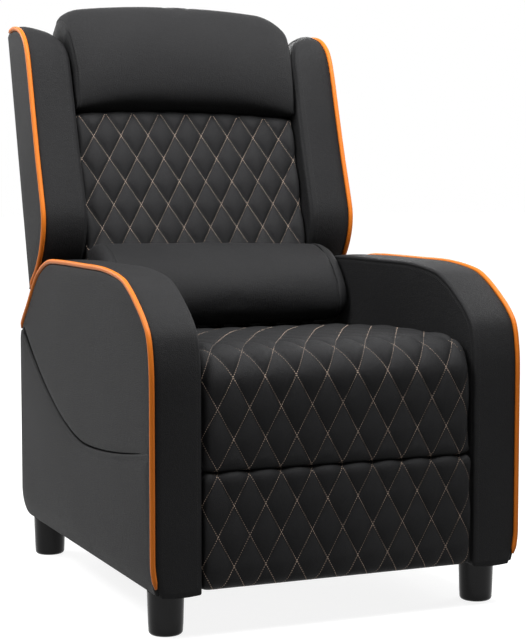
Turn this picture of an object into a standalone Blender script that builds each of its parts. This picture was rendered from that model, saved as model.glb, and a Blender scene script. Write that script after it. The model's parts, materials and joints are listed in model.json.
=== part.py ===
"""A push-back gaming recliner as an assembly of its separate pieces.

Metres, +Z up, front towards -Y. The origin lies on the floor under the middle of the chair's outline.
Left is -X, as seen from the front. The back leans away about one pivot, and two push rods drive a linkage
that swings the footrest out.
"""

import math

import bmesh
import bpy
from mathutils import Vector

for old in list(bpy.data.objects):
    bpy.data.objects.remove(old, do_unlink=True)

# Clearances and cuts
GAP = 0.0003
OVERRUN = 0.004

# Arms: a padded box each side
ARM_INNER_X = 0.245
ARM_WIDTH = 0.0845
ARM_OUTER_X = ARM_INNER_X + ARM_WIDTH
ARM_FRONT_Y = -0.420
ARM_REAR_Y = 0.325
ARM_BOTTOM_Z = 0.072
ARM_TOP_Z = 0.577
ARM_WALL = 0.017
ARM_EDGE_CHAMFER = 0.0085
ARM_INNER_ROUND = 0.010
# Shares of the arm's depth and height, from its lower front corner round over the top to the rear
ARM_FRONT_SHARES = [(0, 0), (0, 0.65)]
ARM_CROWN_SHARES = [
    (0, 0.65), (0.003, 0.725), (0.016, 0.806), (0.044, 0.856), (0.087, 0.903), (0.142, 0.951),
    (0.197, 0.979), (0.313, 0.998), (0.456, 1), (0.658, 1), (0.752, 0.991), (0.827, 0.950),
    (0.874, 0.899), (0.922, 0.829), (0.981, 0.749), (1, 0.690),
]
ARM_REAR_SHARES = [(1, 0.055), (0.989, 0.016), (0.966, 0)]

# Piping cord
PIPING_RADIUS = 0.0042
ARM_PIPING_BOTTOM_Z = 0.088
ARM_PIPING_END_SHARE = 0.985

# Plywood frame in each arm
BOARD = 0.018
ARM_FRAME_MARGIN = 0.006
ARM_RAIL_HEIGHT = 0.028

# Side pocket: a panel with a slanted mouth on each arm's outer face
POCKET_PANEL = 0.004
POCKET_DEPTH = 0.012
POCKET_EDGE = 0.018
POCKET_BOTTOM_Z = 0.090
POCKET_FRONT_INSET = 0.018
POCKET_REAR_INSET = 0.015
POCKET_FRONT_Y = ARM_FRONT_Y + POCKET_FRONT_INSET
POCKET_REAR_Y = ARM_REAR_Y - POCKET_REAR_INSET
POCKET_MOUTH_FRONT_Z = 0.300
POCKET_MOUTH_LOW_Z = 0.266
POCKET_MOUTH_REAR_Z = 0.436
POCKET_LOW_SHARE = 0.45
POCKET_SLIT_FRONT = 0.001
POCKET_SLIT_REAR = 0.016

# Legs
LEG_RADIUS = 0.030
LEG_FOOT_RADIUS = 0.028
LEG_FOOT_ROUND = 0.005
LEG_INSET = 0.0405
LEG_FRONT_INSET = 0.060
LEG_REAR_INSET = 0.037
LEG_X = ARM_INNER_X + LEG_INSET
LEG_FRONT_Y = ARM_FRONT_Y + LEG_FRONT_INSET
LEG_REAR_Y = ARM_REAR_Y - LEG_REAR_INSET
LEG_STUD_RADIUS = 0.005
LEG_STUD_LENGTH = 0.020
LEG_STUD_CLEARANCE = 0.0004

# Steel linkage: plates in layers, from each arm's inner face inwards
PLATE = 0.003
PLATE_GAP = 0.001
PIN_RADIUS = 0.004
PIN_CLEARANCE = 0.0005
HEAD_RADIUS = 0.0065
HEAD_THICKNESS = 0.0015
HEAD_GAP = 0.0004
LINK_HALF_WIDTH = 0.008
BACK_PIN_RADIUS = 0.006
BACK_HEAD_RADIUS = 0.009
BRACKET_HALF_WIDTH = 0.013
PIVOT_Y = 0.220
PIVOT_Z = 0.330
SWING_FRONT_Y = -0.210
SWING_REAR_Y = -0.150
SWING_Z = 0.278
SWING_REACH_Y = 0.086
SWING_DROP = 0.183
LEVER_FORWARD = 0.0225
LEVER_RISE = 0.039
CARRY_FORWARD = 0.201
CARRY_UP = 0.118
RECLINE_DEGREES = 50
SWING_DEGREES = 90
DRIVE_RADIUS = 0.058
DRIVE_HALF_WIDTH = 0.007
DRIVE_EYE_RADIUS = 0.013
DRIVE_SLOT_CLEARANCE = 0.0012
CRANK_RADIUS = 0.0915
CRANK_LEAN = math.radians(15)
TUBE_RADIUS = 0.010
TUBE_BORE = 0.0075
SIDE_PLATE_FRONT_Y = -0.245
SIDE_PLATE_REAR_Y = 0.250
SIDE_PLATE_BOTTOM_Z = 0.262
FLANGE_TOP_Z = 0.312
FLANGE_REAR_Y = 0.160
FLANGE_WIDTH = 0.050
SIDE_PLATE_EAR_Y = 0.180
SIDE_PLATE_EAR_TOP = 0.022
SIDE_PLATE_EAR_DROP = 0.030

# Seat frame and springs
RAIL_WIDTH = 0.033
RAIL_INSET = 0.073
RAIL_X = ARM_INNER_X - RAIL_INSET
SEAT_DECK_Z = 0.355
FRONT_RAIL = 0.0215
FRONT_RAIL_BOTTOM_Z = 0.272
REAR_RAIL = 0.025
SPRING_COUNT = 4
SPRING_PITCH = 0.084
SPRING_WIRE = 0.0017
SPRING_SWING = 0.024
SPRING_WAVES = 6
SPRING_SEAT = 0.009
APRON_THICKNESS = 0.018
APRON_TOP_Z = 0.300
APRON_BOTTOM_Z = 0.084

# Seat cushion: a flat top that rolls over the front edge
SEAT_CLEARANCE = 0.0025
SEAT_HALF_WIDTH = ARM_INNER_X - SEAT_CLEARANCE
SEAT_FRONT_INSET = 0.002
SEAT_FRONT_Y = ARM_FRONT_Y + SEAT_FRONT_INSET
SEAT_REAR_Y = 0.155
SEAT_THICKNESS = 0.103
SEAT_TOP_Z = SEAT_DECK_Z + SEAT_THICKNESS
SEAT_DIP = 0.018
SEAT_ROLL_RADIUS = 0.050
SEAT_ROLL_BOTTOM_Z = 0.265
SEAT_ROLL_DEPTH = 0.058
SEAT_ROLL_REAR_Y = SEAT_FRONT_Y + SEAT_ROLL_DEPTH
SEAT_DIAMOND_HEIGHT = 0.098
SEAT_SIDE_DRAW = 0.014

# Quilting: diamonds pressed into the covers, nine seams across the seat
DIAMOND_SHARE = 0.2256
DIAMOND_WIDTH = SEAT_HALF_WIDTH * DIAMOND_SHARE
DIAMOND_COLUMNS = 8
QUILT_HEIGHT = 0.006

# Footrest
FOOT_BOARD = 0.012
FOOT_BOARD_INSET = 0.0175
FOOT_BOARD_HALF_WIDTH = SEAT_HALF_WIDTH - FOOT_BOARD_INSET
FOOT_BOARD_MARGIN = 0.012
FOOT_CREASE = 0.005
FOOT_TOP_Z = SEAT_ROLL_BOTTOM_Z - FOOT_CREASE
FOOT_BOTTOM_Z = ARM_BOTTOM_Z + SEAT_CLEARANCE
FOOT_FRONT_Y = ARM_FRONT_Y + SEAT_FRONT_INSET / 2
FOOT_PAD_DEPTH = 0.042
FOOT_BOARD_FRONT_Y = FOOT_FRONT_Y + FOOT_PAD_DEPTH
FOOT_EDGE_ROUND = 0.012
FOOT_ROWS = 4
FOOT_BRACKET_BOTTOM_Z = 0.105
FOOT_BRACKET_FLANGE = 0.030

# Back, in its own plane: s runs up it and t towards the rear, from the pivot
BACK_LEAN = math.radians(15.5)
FRAME_FRONT_T = -0.0325
FRAME_REAR_T = 0.0097
BACK_REAR_T = 0.028
WING_SETBACK = 0.010
WING_LOW_OVERLAP = 0.014
WING_TOP_OVERLAP = 0.0105
WING_OUTER_X = ARM_OUTER_X - WING_SETBACK
WING_INNER_LOW_X = ARM_INNER_X - WING_LOW_OVERLAP
WING_INNER_TOP_X = ARM_INNER_X - WING_TOP_OVERLAP
UPRIGHT_CLEARANCE = 0.002
UPRIGHT_WIDTH = 0.0345
UPRIGHT_OUTER_X = WING_INNER_LOW_X - UPRIGHT_CLEARANCE
UPRIGHT_INNER_X = UPRIGHT_OUTER_X - UPRIGHT_WIDTH
UPRIGHT_FOOT_X = ARM_INNER_X - 2 * PLATE - PLATE_GAP - 2 * GAP
UPRIGHT_BOTTOM_S = 0.020
UPRIGHT_STEP_S = 0.172
UPRIGHT_STEP = 0.014
UPRIGHT_TOP_S = 0.640
BACK_RAIL_HEIGHT = 0.045
BACK_RAIL_SEAT = 0.010
WEBBING_COUNT = 2
WEBBING_WIDTH = 0.050
WEBBING_THICKNESS = 0.0015
WEBBING_LOW_S = 0.190
WEBBING_PITCH = 0.150
COVER_THICKNESS = 0.004
COVER_BOTTOM_S = 0.046
COVER_WAIST_S = 0.186
COVER_CLEARANCE = 0.0055
COVER_WAIST_X = ARM_INNER_X - COVER_CLEARANCE
COVER_TOP_S = 0.705
COVER_CORNER = 0.020
BRACKET_TOP_S = 0.155

# Wings
WING_FLARE_S = 0.340
WING_ROUND = 0.010
WING_BOTTOM_S = 0.190
WING_HEIGHT = 0.521
WING_DEPTH = 0.140
WING_REAR_ROUND = 0.004
# Shares of the wing's height above its tip, and of its depth forward of its rear face
WING_SHARES = [
    (0, 0.06), (0.032, 0.22), (0.058, 0.47), (0.100, 0.70), (0.150, 0.87), (0.200, 0.968), (0.250, 1),
    (0.340, 0.984), (0.460, 0.957), (0.620, 0.938), (0.780, 0.926), (0.873, 0.882), (0.930, 0.755),
    (0.966, 0.579), (0.991, 0.339), (1, 0.060),
]

# Quilted back cushion
BACK_PAD_CLEARANCE = 0.001
BACK_PAD_HALF_WIDTH = WING_INNER_LOW_X - BACK_PAD_CLEARANCE
BACK_PAD_BOTTOM_S = 0.0845
BACK_PAD_FRONT_T = -0.080
BACK_PAD_HOLLOW = 0.005
BACK_PAD_ROUND = 0.018
BACK_PAD_TOP_ROUND = 0.008
BACK_PLAIN_TOP = 0.043
BACK_ROWS = 8
BACK_SIDE_DRAW = 0.007

# Head pad
HEAD_INSET = 0.0135
HEAD_HALF_WIDTH = ARM_INNER_X - HEAD_INSET
HEAD_BOTTOM_S = 0.516
HEAD_TOP_S = 0.750
HEAD_FRONT_T = -0.130
HEAD_SIDE_DRAW = 0.026
HEAD_COLUMNS = 12
# Shares of the head pad's depth from its rear face and of its height, over its top to the front lip
HEAD_SHARES = [
    (0, 0.580), (0, 0.740), (0.060, 0.835), (0.180, 0.930), (0.350, 0.985), (0.523, 1), (0.717, 0.965),
    (0.867, 0.870), (0.956, 0.720), (1, 0.500), (0.987, 0.280), (0.912, 0.090), (0.788, 0.010), (0.558, 0),
]

# Lumbar pillow
LUMBAR_INSET = 0.005
LUMBAR_HALF_WIDTH = ARM_INNER_X - LUMBAR_INSET
LUMBAR_DEPTH = 0.137
LUMBAR_BOTTOM_S = 0.080
LUMBAR_HEIGHT = 0.1675
LUMBAR_COLUMNS = 12
LUMBAR_SIDE_DRAW = 0.016
# Shares of the lumbar pillow's depth from its rear face and of its height, up its rear and over its front
LUMBAR_SHARES = [
    (0, 0.150), (0, 0.866), (0.078, 0.970), (0.194, 1), (0.390, 0.958), (0.576, 0.869), (0.772, 0.734),
    (0.917, 0.536), (0.996, 0.342), (0.979, 0.169), (0.884, 0.048), (0.718, 0), (0.527, 0.030),
    (0.277, 0.075), (0.083, 0.110),
]

SIDES = {"left": -1, "right": 1}


def material(name, colour, roughness, metallic=0.0):
    """One Principled material."""
    made = bpy.data.materials.new(name)
    made.use_nodes = True
    shader = made.node_tree.nodes["Principled BSDF"]
    shader.inputs["Base Color"].default_value = (*colour, 1)
    shader.inputs["Roughness"].default_value = roughness
    shader.inputs["Metallic"].default_value = metallic
    made.diffuse_color = (*colour, 1)
    return made


LEATHER = material("black_leather", (0.035, 0.035, 0.040), 0.50)
QUILTED = material("quilted_leather", (0.028, 0.028, 0.032), 0.42)
PIPING = material("orange_piping", (0.80, 0.26, 0.05), 0.50)
PLASTIC = material("black_plastic", (0.020, 0.020, 0.021), 0.35)
STEEL = material("black_steel", (0.050, 0.050, 0.055), 0.40, 0.8)
ZINC = material("spring_steel", (0.50, 0.50, 0.52), 0.35, 1.0)
PLYWOOD = material("plywood", (0.52, 0.36, 0.20), 0.70)
WEBBING = material("black_webbing", (0.030, 0.030, 0.030), 0.85)


def side_view(y, z, x):
    """Outline in the side view, extruded across the chair."""
    return Vector((x, y, z))


def on_back(x, s, t):
    """Outline in the back's plane, extruded through it."""
    return Vector((
        x,
        PIVOT_Y + s * math.sin(BACK_LEAN) + t * math.cos(BACK_LEAN),
        PIVOT_Z + s * math.cos(BACK_LEAN) - t * math.sin(BACK_LEAN),
    ))


def plan_view(x, y, z):
    """Outline in plan, extruded upwards."""
    return Vector((x, y, z))


def finish_object(name, mesh_data, finish, origin, smooth_angle=None):
    """Turn a bmesh into a named object whose origin is on its joint axis."""
    bmesh.ops.recalc_face_normals(mesh_data, faces=mesh_data.faces)
    bmesh.ops.translate(mesh_data, verts=mesh_data.verts, vec=-Vector(origin))
    mesh = bpy.data.meshes.new(name)
    mesh_data.to_mesh(mesh)
    mesh_data.free()
    mesh.materials.append(finish)
    if smooth_angle is not None:
        mesh.shade_smooth()
        mesh.set_sharp_from_angle(angle=smooth_angle)
    made = bpy.data.objects.new(name, mesh)
    made.location = origin
    bpy.context.scene.collection.objects.link(made)
    return made


def lofted(name, sections, finish, origin=(0, 0, 0), diamonds=None, smooth_angle=None):
    """A closed body through equal rings of points, capped at both ends."""
    mesh_data = bmesh.new()
    rings = [[mesh_data.verts.new(point) for point in ring] for ring in sections]
    count = len(rings[0])
    for column, (near, far) in enumerate(zip(rings, rings[1:])):
        for row in range(count):
            following = (row + 1) % count
            corners = [near[row], near[following], far[following], far[row]]
            if diamonds is None:
                mesh_data.faces.new(corners)
                continue
            turn = (diamonds + column + row) % 2
            corners = corners[turn:] + corners[:turn]
            mesh_data.faces.new(corners[:3])
            mesh_data.faces.new([corners[0], corners[2], corners[3]])
    mesh_data.faces.new(rings[0])
    mesh_data.faces.new(rings[-1])
    return finish_object(name, mesh_data, finish, origin, smooth_angle)


def prism(name, outline, low, high, place, finish, origin=(0, 0, 0), smooth_angle=None):
    """An outline extruded between two depths."""
    sections = [[place(a, b, depth) for a, b in outline] for depth in (low, high)]
    return lofted(name, sections, finish, origin, smooth_angle=smooth_angle)


def rectangle(a0, a1, b0, b1):
    """Corners of an upright rectangle in an outline's two directions."""
    return [(a0, b0), (a1, b0), (a1, b1), (a0, b1)]


def circle(centre, radius, sides=16):
    """Points round a centre."""
    turns = [2 * math.pi * side / sides for side in range(sides)]
    return [(centre[0] + radius * math.cos(a), centre[1] + radius * math.sin(a)) for a in turns]


def smooth_through(points, steps=2):
    """Points on a Catmull-Rom curve through the given points."""
    ends = [points[0], *points, points[-1]]
    found = []
    for before, start, end, after in zip(ends, ends[1:], ends[2:], ends[3:]):
        for step in range(steps):
            u = step / steps
            found.append(tuple(
                0.5 * (2 * b + (c - a) * u + (2 * a - 5 * b + 4 * c - d) * u**2
                       + (3 * b - a - 3 * c + d) * u**3)
                for a, b, c, d in zip(before, start, end, after)
            ))
    return [*found, points[-1]]


def outward_normals(outline, closed=True):
    """Mitred normals at the points of an outline that runs clockwise."""
    count = len(outline)
    edges = []
    for start, end in zip(outline, [*outline[1:], outline[0]]):
        length = math.dist(start, end)
        edges.append((-(end[1] - start[1]) / length, (end[0] - start[0]) / length))
    found = []
    for place in range(count):
        ahead = edges[place] if closed or place < count - 1 else edges[place - 1]
        behind = edges[place - 1] if closed or place else ahead
        spread = 1 + ahead[0] * behind[0] + ahead[1] * behind[1]
        found.append(((ahead[0] + behind[0]) / spread, (ahead[1] + behind[1]) / spread))
    return found


def offset_outline(outline, distance, closed=True):
    """The outline moved outwards, or inwards where the distance is negative."""
    normals = outward_normals(outline, closed)
    return [(a + n[0] * distance, b + n[1] * distance) for (a, b), n in zip(outline, normals)]


def strip_outline(points, half_width, arc_steps=6):
    """A flat bar's outline with round ends, through its holes."""
    def side(run):
        edge = []
        for place, point in enumerate(run):
            before = Vector(run[max(place - 1, 0)])
            after = Vector(run[min(place + 1, len(run) - 1)])
            here = Vector(point)
            ahead = (after - here).normalized() if place < len(run) - 1 else (here - before).normalized()
            behind = (here - before).normalized() if place else ahead
            along = (ahead + behind).normalized()
            reach = half_width / max(along.dot(ahead), 0.5)
            edge.append((here.x - along.y * reach, here.y + along.x * reach))
        return edge

    def end_cap(point, toward):
        turn = math.atan2(toward.y, toward.x)
        angles = [turn + math.pi / 2 - math.pi * step / arc_steps for step in range(1, arc_steps)]
        return [(point[0] + half_width * math.cos(a), point[1] + half_width * math.sin(a)) for a in angles]

    tail = (Vector(points[-1]) - Vector(points[-2])).normalized()
    head = (Vector(points[0]) - Vector(points[1])).normalized()
    back_run = list(reversed(points))
    return side(points) + end_cap(points[-1], tail) + side(back_run) + end_cap(points[0], head)


def boolean(target, other, operation):
    """Cut or join another object, which is left out of the model itself."""
    change = target.modifiers.new(other.name, "BOOLEAN")
    change.operation = operation
    change.solver = "EXACT"
    change.object = other
    other.hide_render = True
    other.display_type = "WIRE"


def layer(number):
    """Outer and inner |x| of a layer of the linkage; layer 0 is the fixed side plate."""
    outer = ARM_INNER_X - GAP - number * (PLATE + PLATE_GAP)
    return outer, outer - PLATE


def turned(points, pivot, degrees):
    """Side-view points turned about a pivot; positive swings a hanging point forwards."""
    angle = -math.radians(degrees)
    found = []
    for y, z in points:
        dy, dz = y - pivot[0], z - pivot[1]
        found.append((
            pivot[0] + dy * math.cos(angle) - dz * math.sin(angle),
            pivot[1] + dy * math.sin(angle) + dz * math.cos(angle),
        ))
    return found


# Pivots of the linkage in the side view
BACK_PIVOT = (PIVOT_Y, PIVOT_Z)
SWING_FRONT = (SWING_FRONT_Y, SWING_Z)
SWING_REAR = (SWING_REAR_Y, SWING_Z)
CARRY_FRONT = (SWING_FRONT_Y + SWING_REACH_Y, SWING_Z - SWING_DROP)
CARRY_REAR = (SWING_REAR_Y + SWING_REACH_Y, SWING_Z - SWING_DROP)
LEVER = (CARRY_FRONT[0] - LEVER_FORWARD, CARRY_FRONT[1] + LEVER_RISE)
FOOT_LOW = (CARRY_FRONT[0] - CARRY_FORWARD, CARRY_FRONT[1] + CARRY_UP)
FOOT_HIGH = (FOOT_LOW[0] - LEVER_FORWARD, FOOT_LOW[1] + LEVER_RISE)
FOOT_PIVOT = (SWING_FRONT[0] - CARRY_FORWARD, SWING_FRONT[1] + CARRY_UP)
LEVER_SPAN = math.hypot(LEVER[0] - SWING_FRONT[0], LEVER[1] - SWING_FRONT[1])
DRIVE_PIN = (
    SWING_FRONT[0] + (LEVER[0] - SWING_FRONT[0]) * DRIVE_RADIUS / LEVER_SPAN,
    SWING_FRONT[1] + (LEVER[1] - SWING_FRONT[1]) * DRIVE_RADIUS / LEVER_SPAN,
)
CRANK_PIN = (
    PIVOT_Y + CRANK_RADIUS * math.sin(CRANK_LEAN),
    PIVOT_Z - CRANK_RADIUS * math.cos(CRANK_LEAN),
)


def at_pivot(point):
    """A side-view point as an object's origin, in the middle of the chair."""
    return (0, point[0], point[1])


def rod_ends(share):
    """The push rod's two pins at a share of the recline."""
    crank = turned([CRANK_PIN], BACK_PIVOT, share * RECLINE_DEGREES)[0]
    drive = turned([DRIVE_PIN], SWING_FRONT, share * SWING_DEGREES)[0]
    return crank, drive


def rod_angle(share):
    """The push rod's slope in degrees at a share of the recline."""
    crank, drive = rod_ends(share)
    return math.degrees(math.atan2(crank[1] - drive[1], crank[0] - drive[0]))


def drive_pin_in_rod(share):
    """Where the front pin stands in the resting rod, when the rod turns at a constant rate."""
    crank, drive = rod_ends(share)
    back = turned([drive], crank, (rod_angle(1) - rod_angle(0)) * share)[0]
    return (CRANK_PIN[0] + back[0] - crank[0], CRANK_PIN[1] + back[1] - crank[1])


def arm_point(share):
    """A point of the arm's side view from its shares."""
    return (
        ARM_FRONT_Y + share[0] * (ARM_REAR_Y - ARM_FRONT_Y),
        ARM_BOTTOM_Z + share[1] * (ARM_TOP_Z - ARM_BOTTOM_Z),
    )


def arm_outline():
    """The arm's side view, clockwise seen from the left: up the front and over the top."""
    front = [arm_point(share) for share in ARM_FRONT_SHARES]
    crown = smooth_through([arm_point(share) for share in ARM_CROWN_SHARES])
    rear = [arm_point(share) for share in ARM_REAR_SHARES]
    return front[:1] + crown + rear


def pocket_mouth(steps=10):
    """The slanted mouth line from front to rear: a shallow dip, then a rising curve."""
    found = []
    for step in range(steps + 1):
        share = step / steps
        if share < POCKET_LOW_SHARE:
            rise = POCKET_MOUTH_FRONT_Z - POCKET_MOUTH_LOW_Z
            off = (POCKET_LOW_SHARE - share) / POCKET_LOW_SHARE
        else:
            rise = POCKET_MOUTH_REAR_Z - POCKET_MOUTH_LOW_Z
            off = (share - POCKET_LOW_SHARE) / (1 - POCKET_LOW_SHARE)
        y = POCKET_FRONT_Y + share * (POCKET_REAR_Y - POCKET_FRONT_Y)
        found.append((y, POCKET_MOUTH_LOW_Z + rise * off**1.7))
    return found


def make_arm(side, sign):
    """Padded cover, plywood frame, piping and pocket panel of one arm."""
    outline = arm_outline()
    steps = [
        (ARM_INNER_X, -ARM_INNER_ROUND),
        (ARM_INNER_X + ARM_INNER_ROUND / 3, -ARM_INNER_ROUND / 3),
        (ARM_INNER_X + ARM_INNER_ROUND, 0),
        (ARM_OUTER_X - ARM_EDGE_CHAMFER, 0),
        (ARM_OUTER_X, -ARM_EDGE_CHAMFER),
    ]
    sections = []
    for x, grow in steps:
        ring = offset_outline(outline, grow)
        sections.append([Vector((sign * x, y, max(z, ARM_BOTTOM_Z))) for y, z in ring])
    cover = lofted(f"arm_cover_{side}", sections, LEATHER, smooth_angle=math.radians(35))

    hollow_low = ARM_INNER_X + ARM_WALL
    hollow_high = ARM_OUTER_X - POCKET_PANEL - POCKET_DEPTH - POCKET_PANEL
    inside = offset_outline(outline, -ARM_WALL)
    hollow = [(y, z if z > ARM_BOTTOM_Z + 2 * ARM_WALL else ARM_BOTTOM_Z - OVERRUN) for y, z in inside]
    cutter = prism(f"arm_hollow_{side}", hollow, sign * hollow_low, sign * hollow_high, side_view, LEATHER)
    boolean(cover, cutter, "DIFFERENCE")

    mouth = pocket_mouth()
    panel = [(POCKET_FRONT_Y, POCKET_BOTTOM_Z), *mouth, (POCKET_REAR_Y, POCKET_BOTTOM_Z)]
    seat_low = ARM_OUTER_X - POCKET_PANEL - GAP
    outer = ARM_OUTER_X + OVERRUN
    slits = [
        POCKET_SLIT_FRONT + (POCKET_SLIT_REAR - POCKET_SLIT_FRONT) * place / (len(mouth) - 1)
        for place in range(len(mouth))
    ]
    opened = [(y, z + slit) for (y, z), slit in zip(mouth, slits)]
    seat = [
        (POCKET_FRONT_Y - GAP, POCKET_BOTTOM_Z - GAP),
        (POCKET_FRONT_Y - GAP, opened[0][1]),
        *opened[1:-1],
        (POCKET_REAR_Y + GAP, opened[-1][1]),
        (POCKET_REAR_Y + GAP, POCKET_BOTTOM_Z - GAP),
    ]
    cutter = prism(f"pocket_seat_{side}", seat, sign * seat_low, sign * outer, side_view, LEATHER)
    boolean(cover, cutter, "DIFFERENCE")
    inner = [
        (POCKET_FRONT_Y + POCKET_EDGE, POCKET_BOTTOM_Z + POCKET_EDGE),
        (POCKET_FRONT_Y + POCKET_EDGE, opened[0][1] - POCKET_SLIT_FRONT),
        *[(y, z - GAP) for y, z in opened[1:-1]],
        (POCKET_REAR_Y - POCKET_EDGE, opened[-2][1]),
        (POCKET_REAR_Y - POCKET_EDGE, POCKET_BOTTOM_Z + POCKET_EDGE),
    ]
    deep = ARM_OUTER_X - POCKET_PANEL - POCKET_DEPTH
    cutter = prism(f"pocket_hollow_{side}", inner, sign * deep, sign * outer, side_view, LEATHER)
    boolean(cover, cutter, "DIFFERENCE")
    prism(f"side_pocket_{side}", panel, sign * (seat_low + GAP), sign * ARM_OUTER_X, side_view, LEATHER)

    make_arm_frame(side, sign, outline, hollow_low, hollow_high)
    make_arm_piping(side, sign)


def make_arm_frame(side, sign, outline, hollow_low, hollow_high):
    """Plywood board and bottom rail, with a hole for each leg's stud."""
    board = [
        (y, max(z, ARM_BOTTOM_Z + GAP))
        for y, z in offset_outline(outline, -ARM_WALL - ARM_FRAME_MARGIN)
    ]
    low = hollow_low + GAP
    frame = prism(f"arm_frame_{side}", board, sign * low, sign * (low + BOARD), side_view, PLYWOOD)
    ends = [y for y, z in board]
    rail = rectangle(
        min(ends), max(ends) - ARM_FRAME_MARGIN, ARM_BOTTOM_Z + GAP, ARM_BOTTOM_Z + ARM_RAIL_HEIGHT,
    )
    joined = prism(f"arm_rail_{side}", rail, sign * (low + BOARD / 2), sign * (hollow_high - GAP),
                   side_view, PLYWOOD)
    boolean(frame, joined, "UNION")
    for y in (LEG_FRONT_Y, LEG_REAR_Y):
        hole = circle((sign * LEG_X, y), LEG_STUD_RADIUS + LEG_STUD_CLEARANCE)
        cutter = prism(
            f"leg_hole_{side}", hole, ARM_BOTTOM_Z - OVERRUN,
            ARM_BOTTOM_Z + LEG_STUD_LENGTH + LEG_STUD_CLEARANCE, plan_view, PLYWOOD,
        )
        boolean(frame, cutter, "DIFFERENCE")


def tube(name, points, radius, finish, resolution=1, origin=(0, 0, 0)):
    """A round cord or wire along a path."""
    data = bpy.data.curves.new(name, "CURVE")
    data.dimensions = "3D"
    data.bevel_depth = radius
    data.bevel_resolution = resolution
    data.use_fill_caps = True
    run = data.splines.new("POLY")
    run.points.add(len(points) - 1)
    for point, place in zip(run.points, points):
        point.co = (*(Vector(place) - Vector(origin)), 1)
    data.materials.append(finish)
    made = bpy.data.objects.new(name, data)
    made.location = origin
    bpy.context.scene.collection.objects.link(made)
    return made


def piping_offset(chamfer):
    """How far the cord's middle stands past a chamfer's own middle, each way."""
    return (PIPING_RADIUS + 2 * GAP) / math.sqrt(2) - chamfer / 2


def make_arm_piping(side, sign):
    """Piping cord seated on the chamfer of the arm's outer edge."""
    crown = smooth_through([arm_point(share) for share in ARM_CROWN_SHARES])
    end_y, _ = arm_point((ARM_PIPING_END_SHARE, 0))
    path = [(ARM_FRONT_Y, ARM_PIPING_BOTTOM_Z), *[point for point in crown if point[0] < end_y]]
    stand = piping_offset(ARM_EDGE_CHAMFER)
    x = sign * (ARM_OUTER_X + stand)
    points = [(x, y, z) for y, z in offset_outline(path, stand, closed=False)]
    tube(f"arm_piping_{side}", points, PIPING_RADIUS, PIPING)


def make_leg(name, sign, y):
    """Round plastic leg with its threaded stud."""
    foot = [
        (LEG_FOOT_RADIUS - LEG_FOOT_ROUND * (1 - math.sin(a)), LEG_FOOT_ROUND * (1 - math.cos(a)))
        for a in [math.pi / 2 * step / 4 for step in range(5)]
    ]
    top = ARM_BOTTOM_Z - GAP
    profile = [
        *foot, (LEG_RADIUS, top), (LEG_STUD_RADIUS, top), (LEG_STUD_RADIUS, top + LEG_STUD_LENGTH),
    ]
    centre = (sign * LEG_X, y)
    sections = [[Vector((a, b, z)) for a, b in circle(centre, radius, 24)] for radius, z in profile]
    lofted(name, sections, PLASTIC, (sign * LEG_X, y, 0), smooth_angle=math.radians(35))


def flat_bar(name, sign, points, number, half_width=LINK_HALF_WIDTH):
    """A linkage bar in its layer, with its origin on its first pivot."""
    outer, inner = layer(number)
    outline = strip_outline(points, half_width)
    return prism(name, outline, sign * inner, sign * outer, side_view, STEEL, at_pivot(points[0]))


def add_pin(bar, sign, point, start, through, radius=PIN_RADIUS, head=HEAD_RADIUS):
    """A riveted pin on a bar, through the bar in another layer, with its head behind that."""
    outer, inner = layer(through)
    root_outer, root_inner = layer(start)
    root = (root_outer + root_inner) / 2
    if through > start:
        face, back = inner - HEAD_GAP, inner - HEAD_GAP - HEAD_THICKNESS
    else:
        face, back = outer + HEAD_GAP, outer + HEAD_GAP + HEAD_THICKNESS
    shank = prism(f"{bar.name}_pin", circle(point, radius, 12), sign * root, sign * back, side_view, STEEL)
    cap = prism(f"{bar.name}_head", circle(point, head, 12), sign * face, sign * back, side_view, STEEL)
    boolean(shank, cap, "UNION")
    boolean(bar, shank, "UNION")


def add_hole(bar, sign, point, number, radius=PIN_RADIUS, slot_end=None):
    """A hole, or a slot from one point to another, through a bar, with the pin's running clearance."""
    outer, inner = layer(number)
    outline = circle(point, radius + PIN_CLEARANCE, 12)
    if slot_end:
        outline = strip_outline([point, slot_end], radius + DRIVE_SLOT_CLEARANCE)
    cutter = prism(f"{bar.name}_hole", outline, sign * (inner - PLATE_GAP / 2),
                   sign * (outer + PLATE_GAP / 2), side_view, STEEL)
    boolean(bar, cutter, "DIFFERENCE")


def make_side_plate(side, sign):
    """Fixed steel plate on the arm, with the three fixed pivots and a flange under the seat."""
    outer, inner = layer(0)
    ear_top = PIVOT_Z + SIDE_PLATE_EAR_TOP
    outline = [
        (SIDE_PLATE_FRONT_Y, SIDE_PLATE_BOTTOM_Z), (SIDE_PLATE_FRONT_Y, FLANGE_TOP_Z),
        (FLANGE_REAR_Y, FLANGE_TOP_Z), (SIDE_PLATE_EAR_Y, ear_top), (SIDE_PLATE_REAR_Y, ear_top),
        (SIDE_PLATE_REAR_Y, PIVOT_Z - SIDE_PLATE_EAR_DROP), (SIDE_PLATE_EAR_Y, SIDE_PLATE_BOTTOM_Z),
    ]
    plate = prism(f"side_plate_{side}", outline, sign * inner, sign * outer, side_view, STEEL)
    strip = rectangle(SIDE_PLATE_FRONT_Y, FLANGE_REAR_Y, FLANGE_TOP_Z - PLATE, FLANGE_TOP_Z)
    flange = prism(
        f"side_flange_{side}", strip, sign * (outer - FLANGE_WIDTH), sign * (outer - PLATE / 2),
        side_view, STEEL,
    )
    boolean(plate, flange, "UNION")
    add_pin(plate, sign, SWING_FRONT, 0, 1)
    add_pin(plate, sign, SWING_REAR, 0, 1)
    add_pin(plate, sign, BACK_PIVOT, 0, 1, BACK_PIN_RADIUS, BACK_HEAD_RADIUS)


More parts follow.
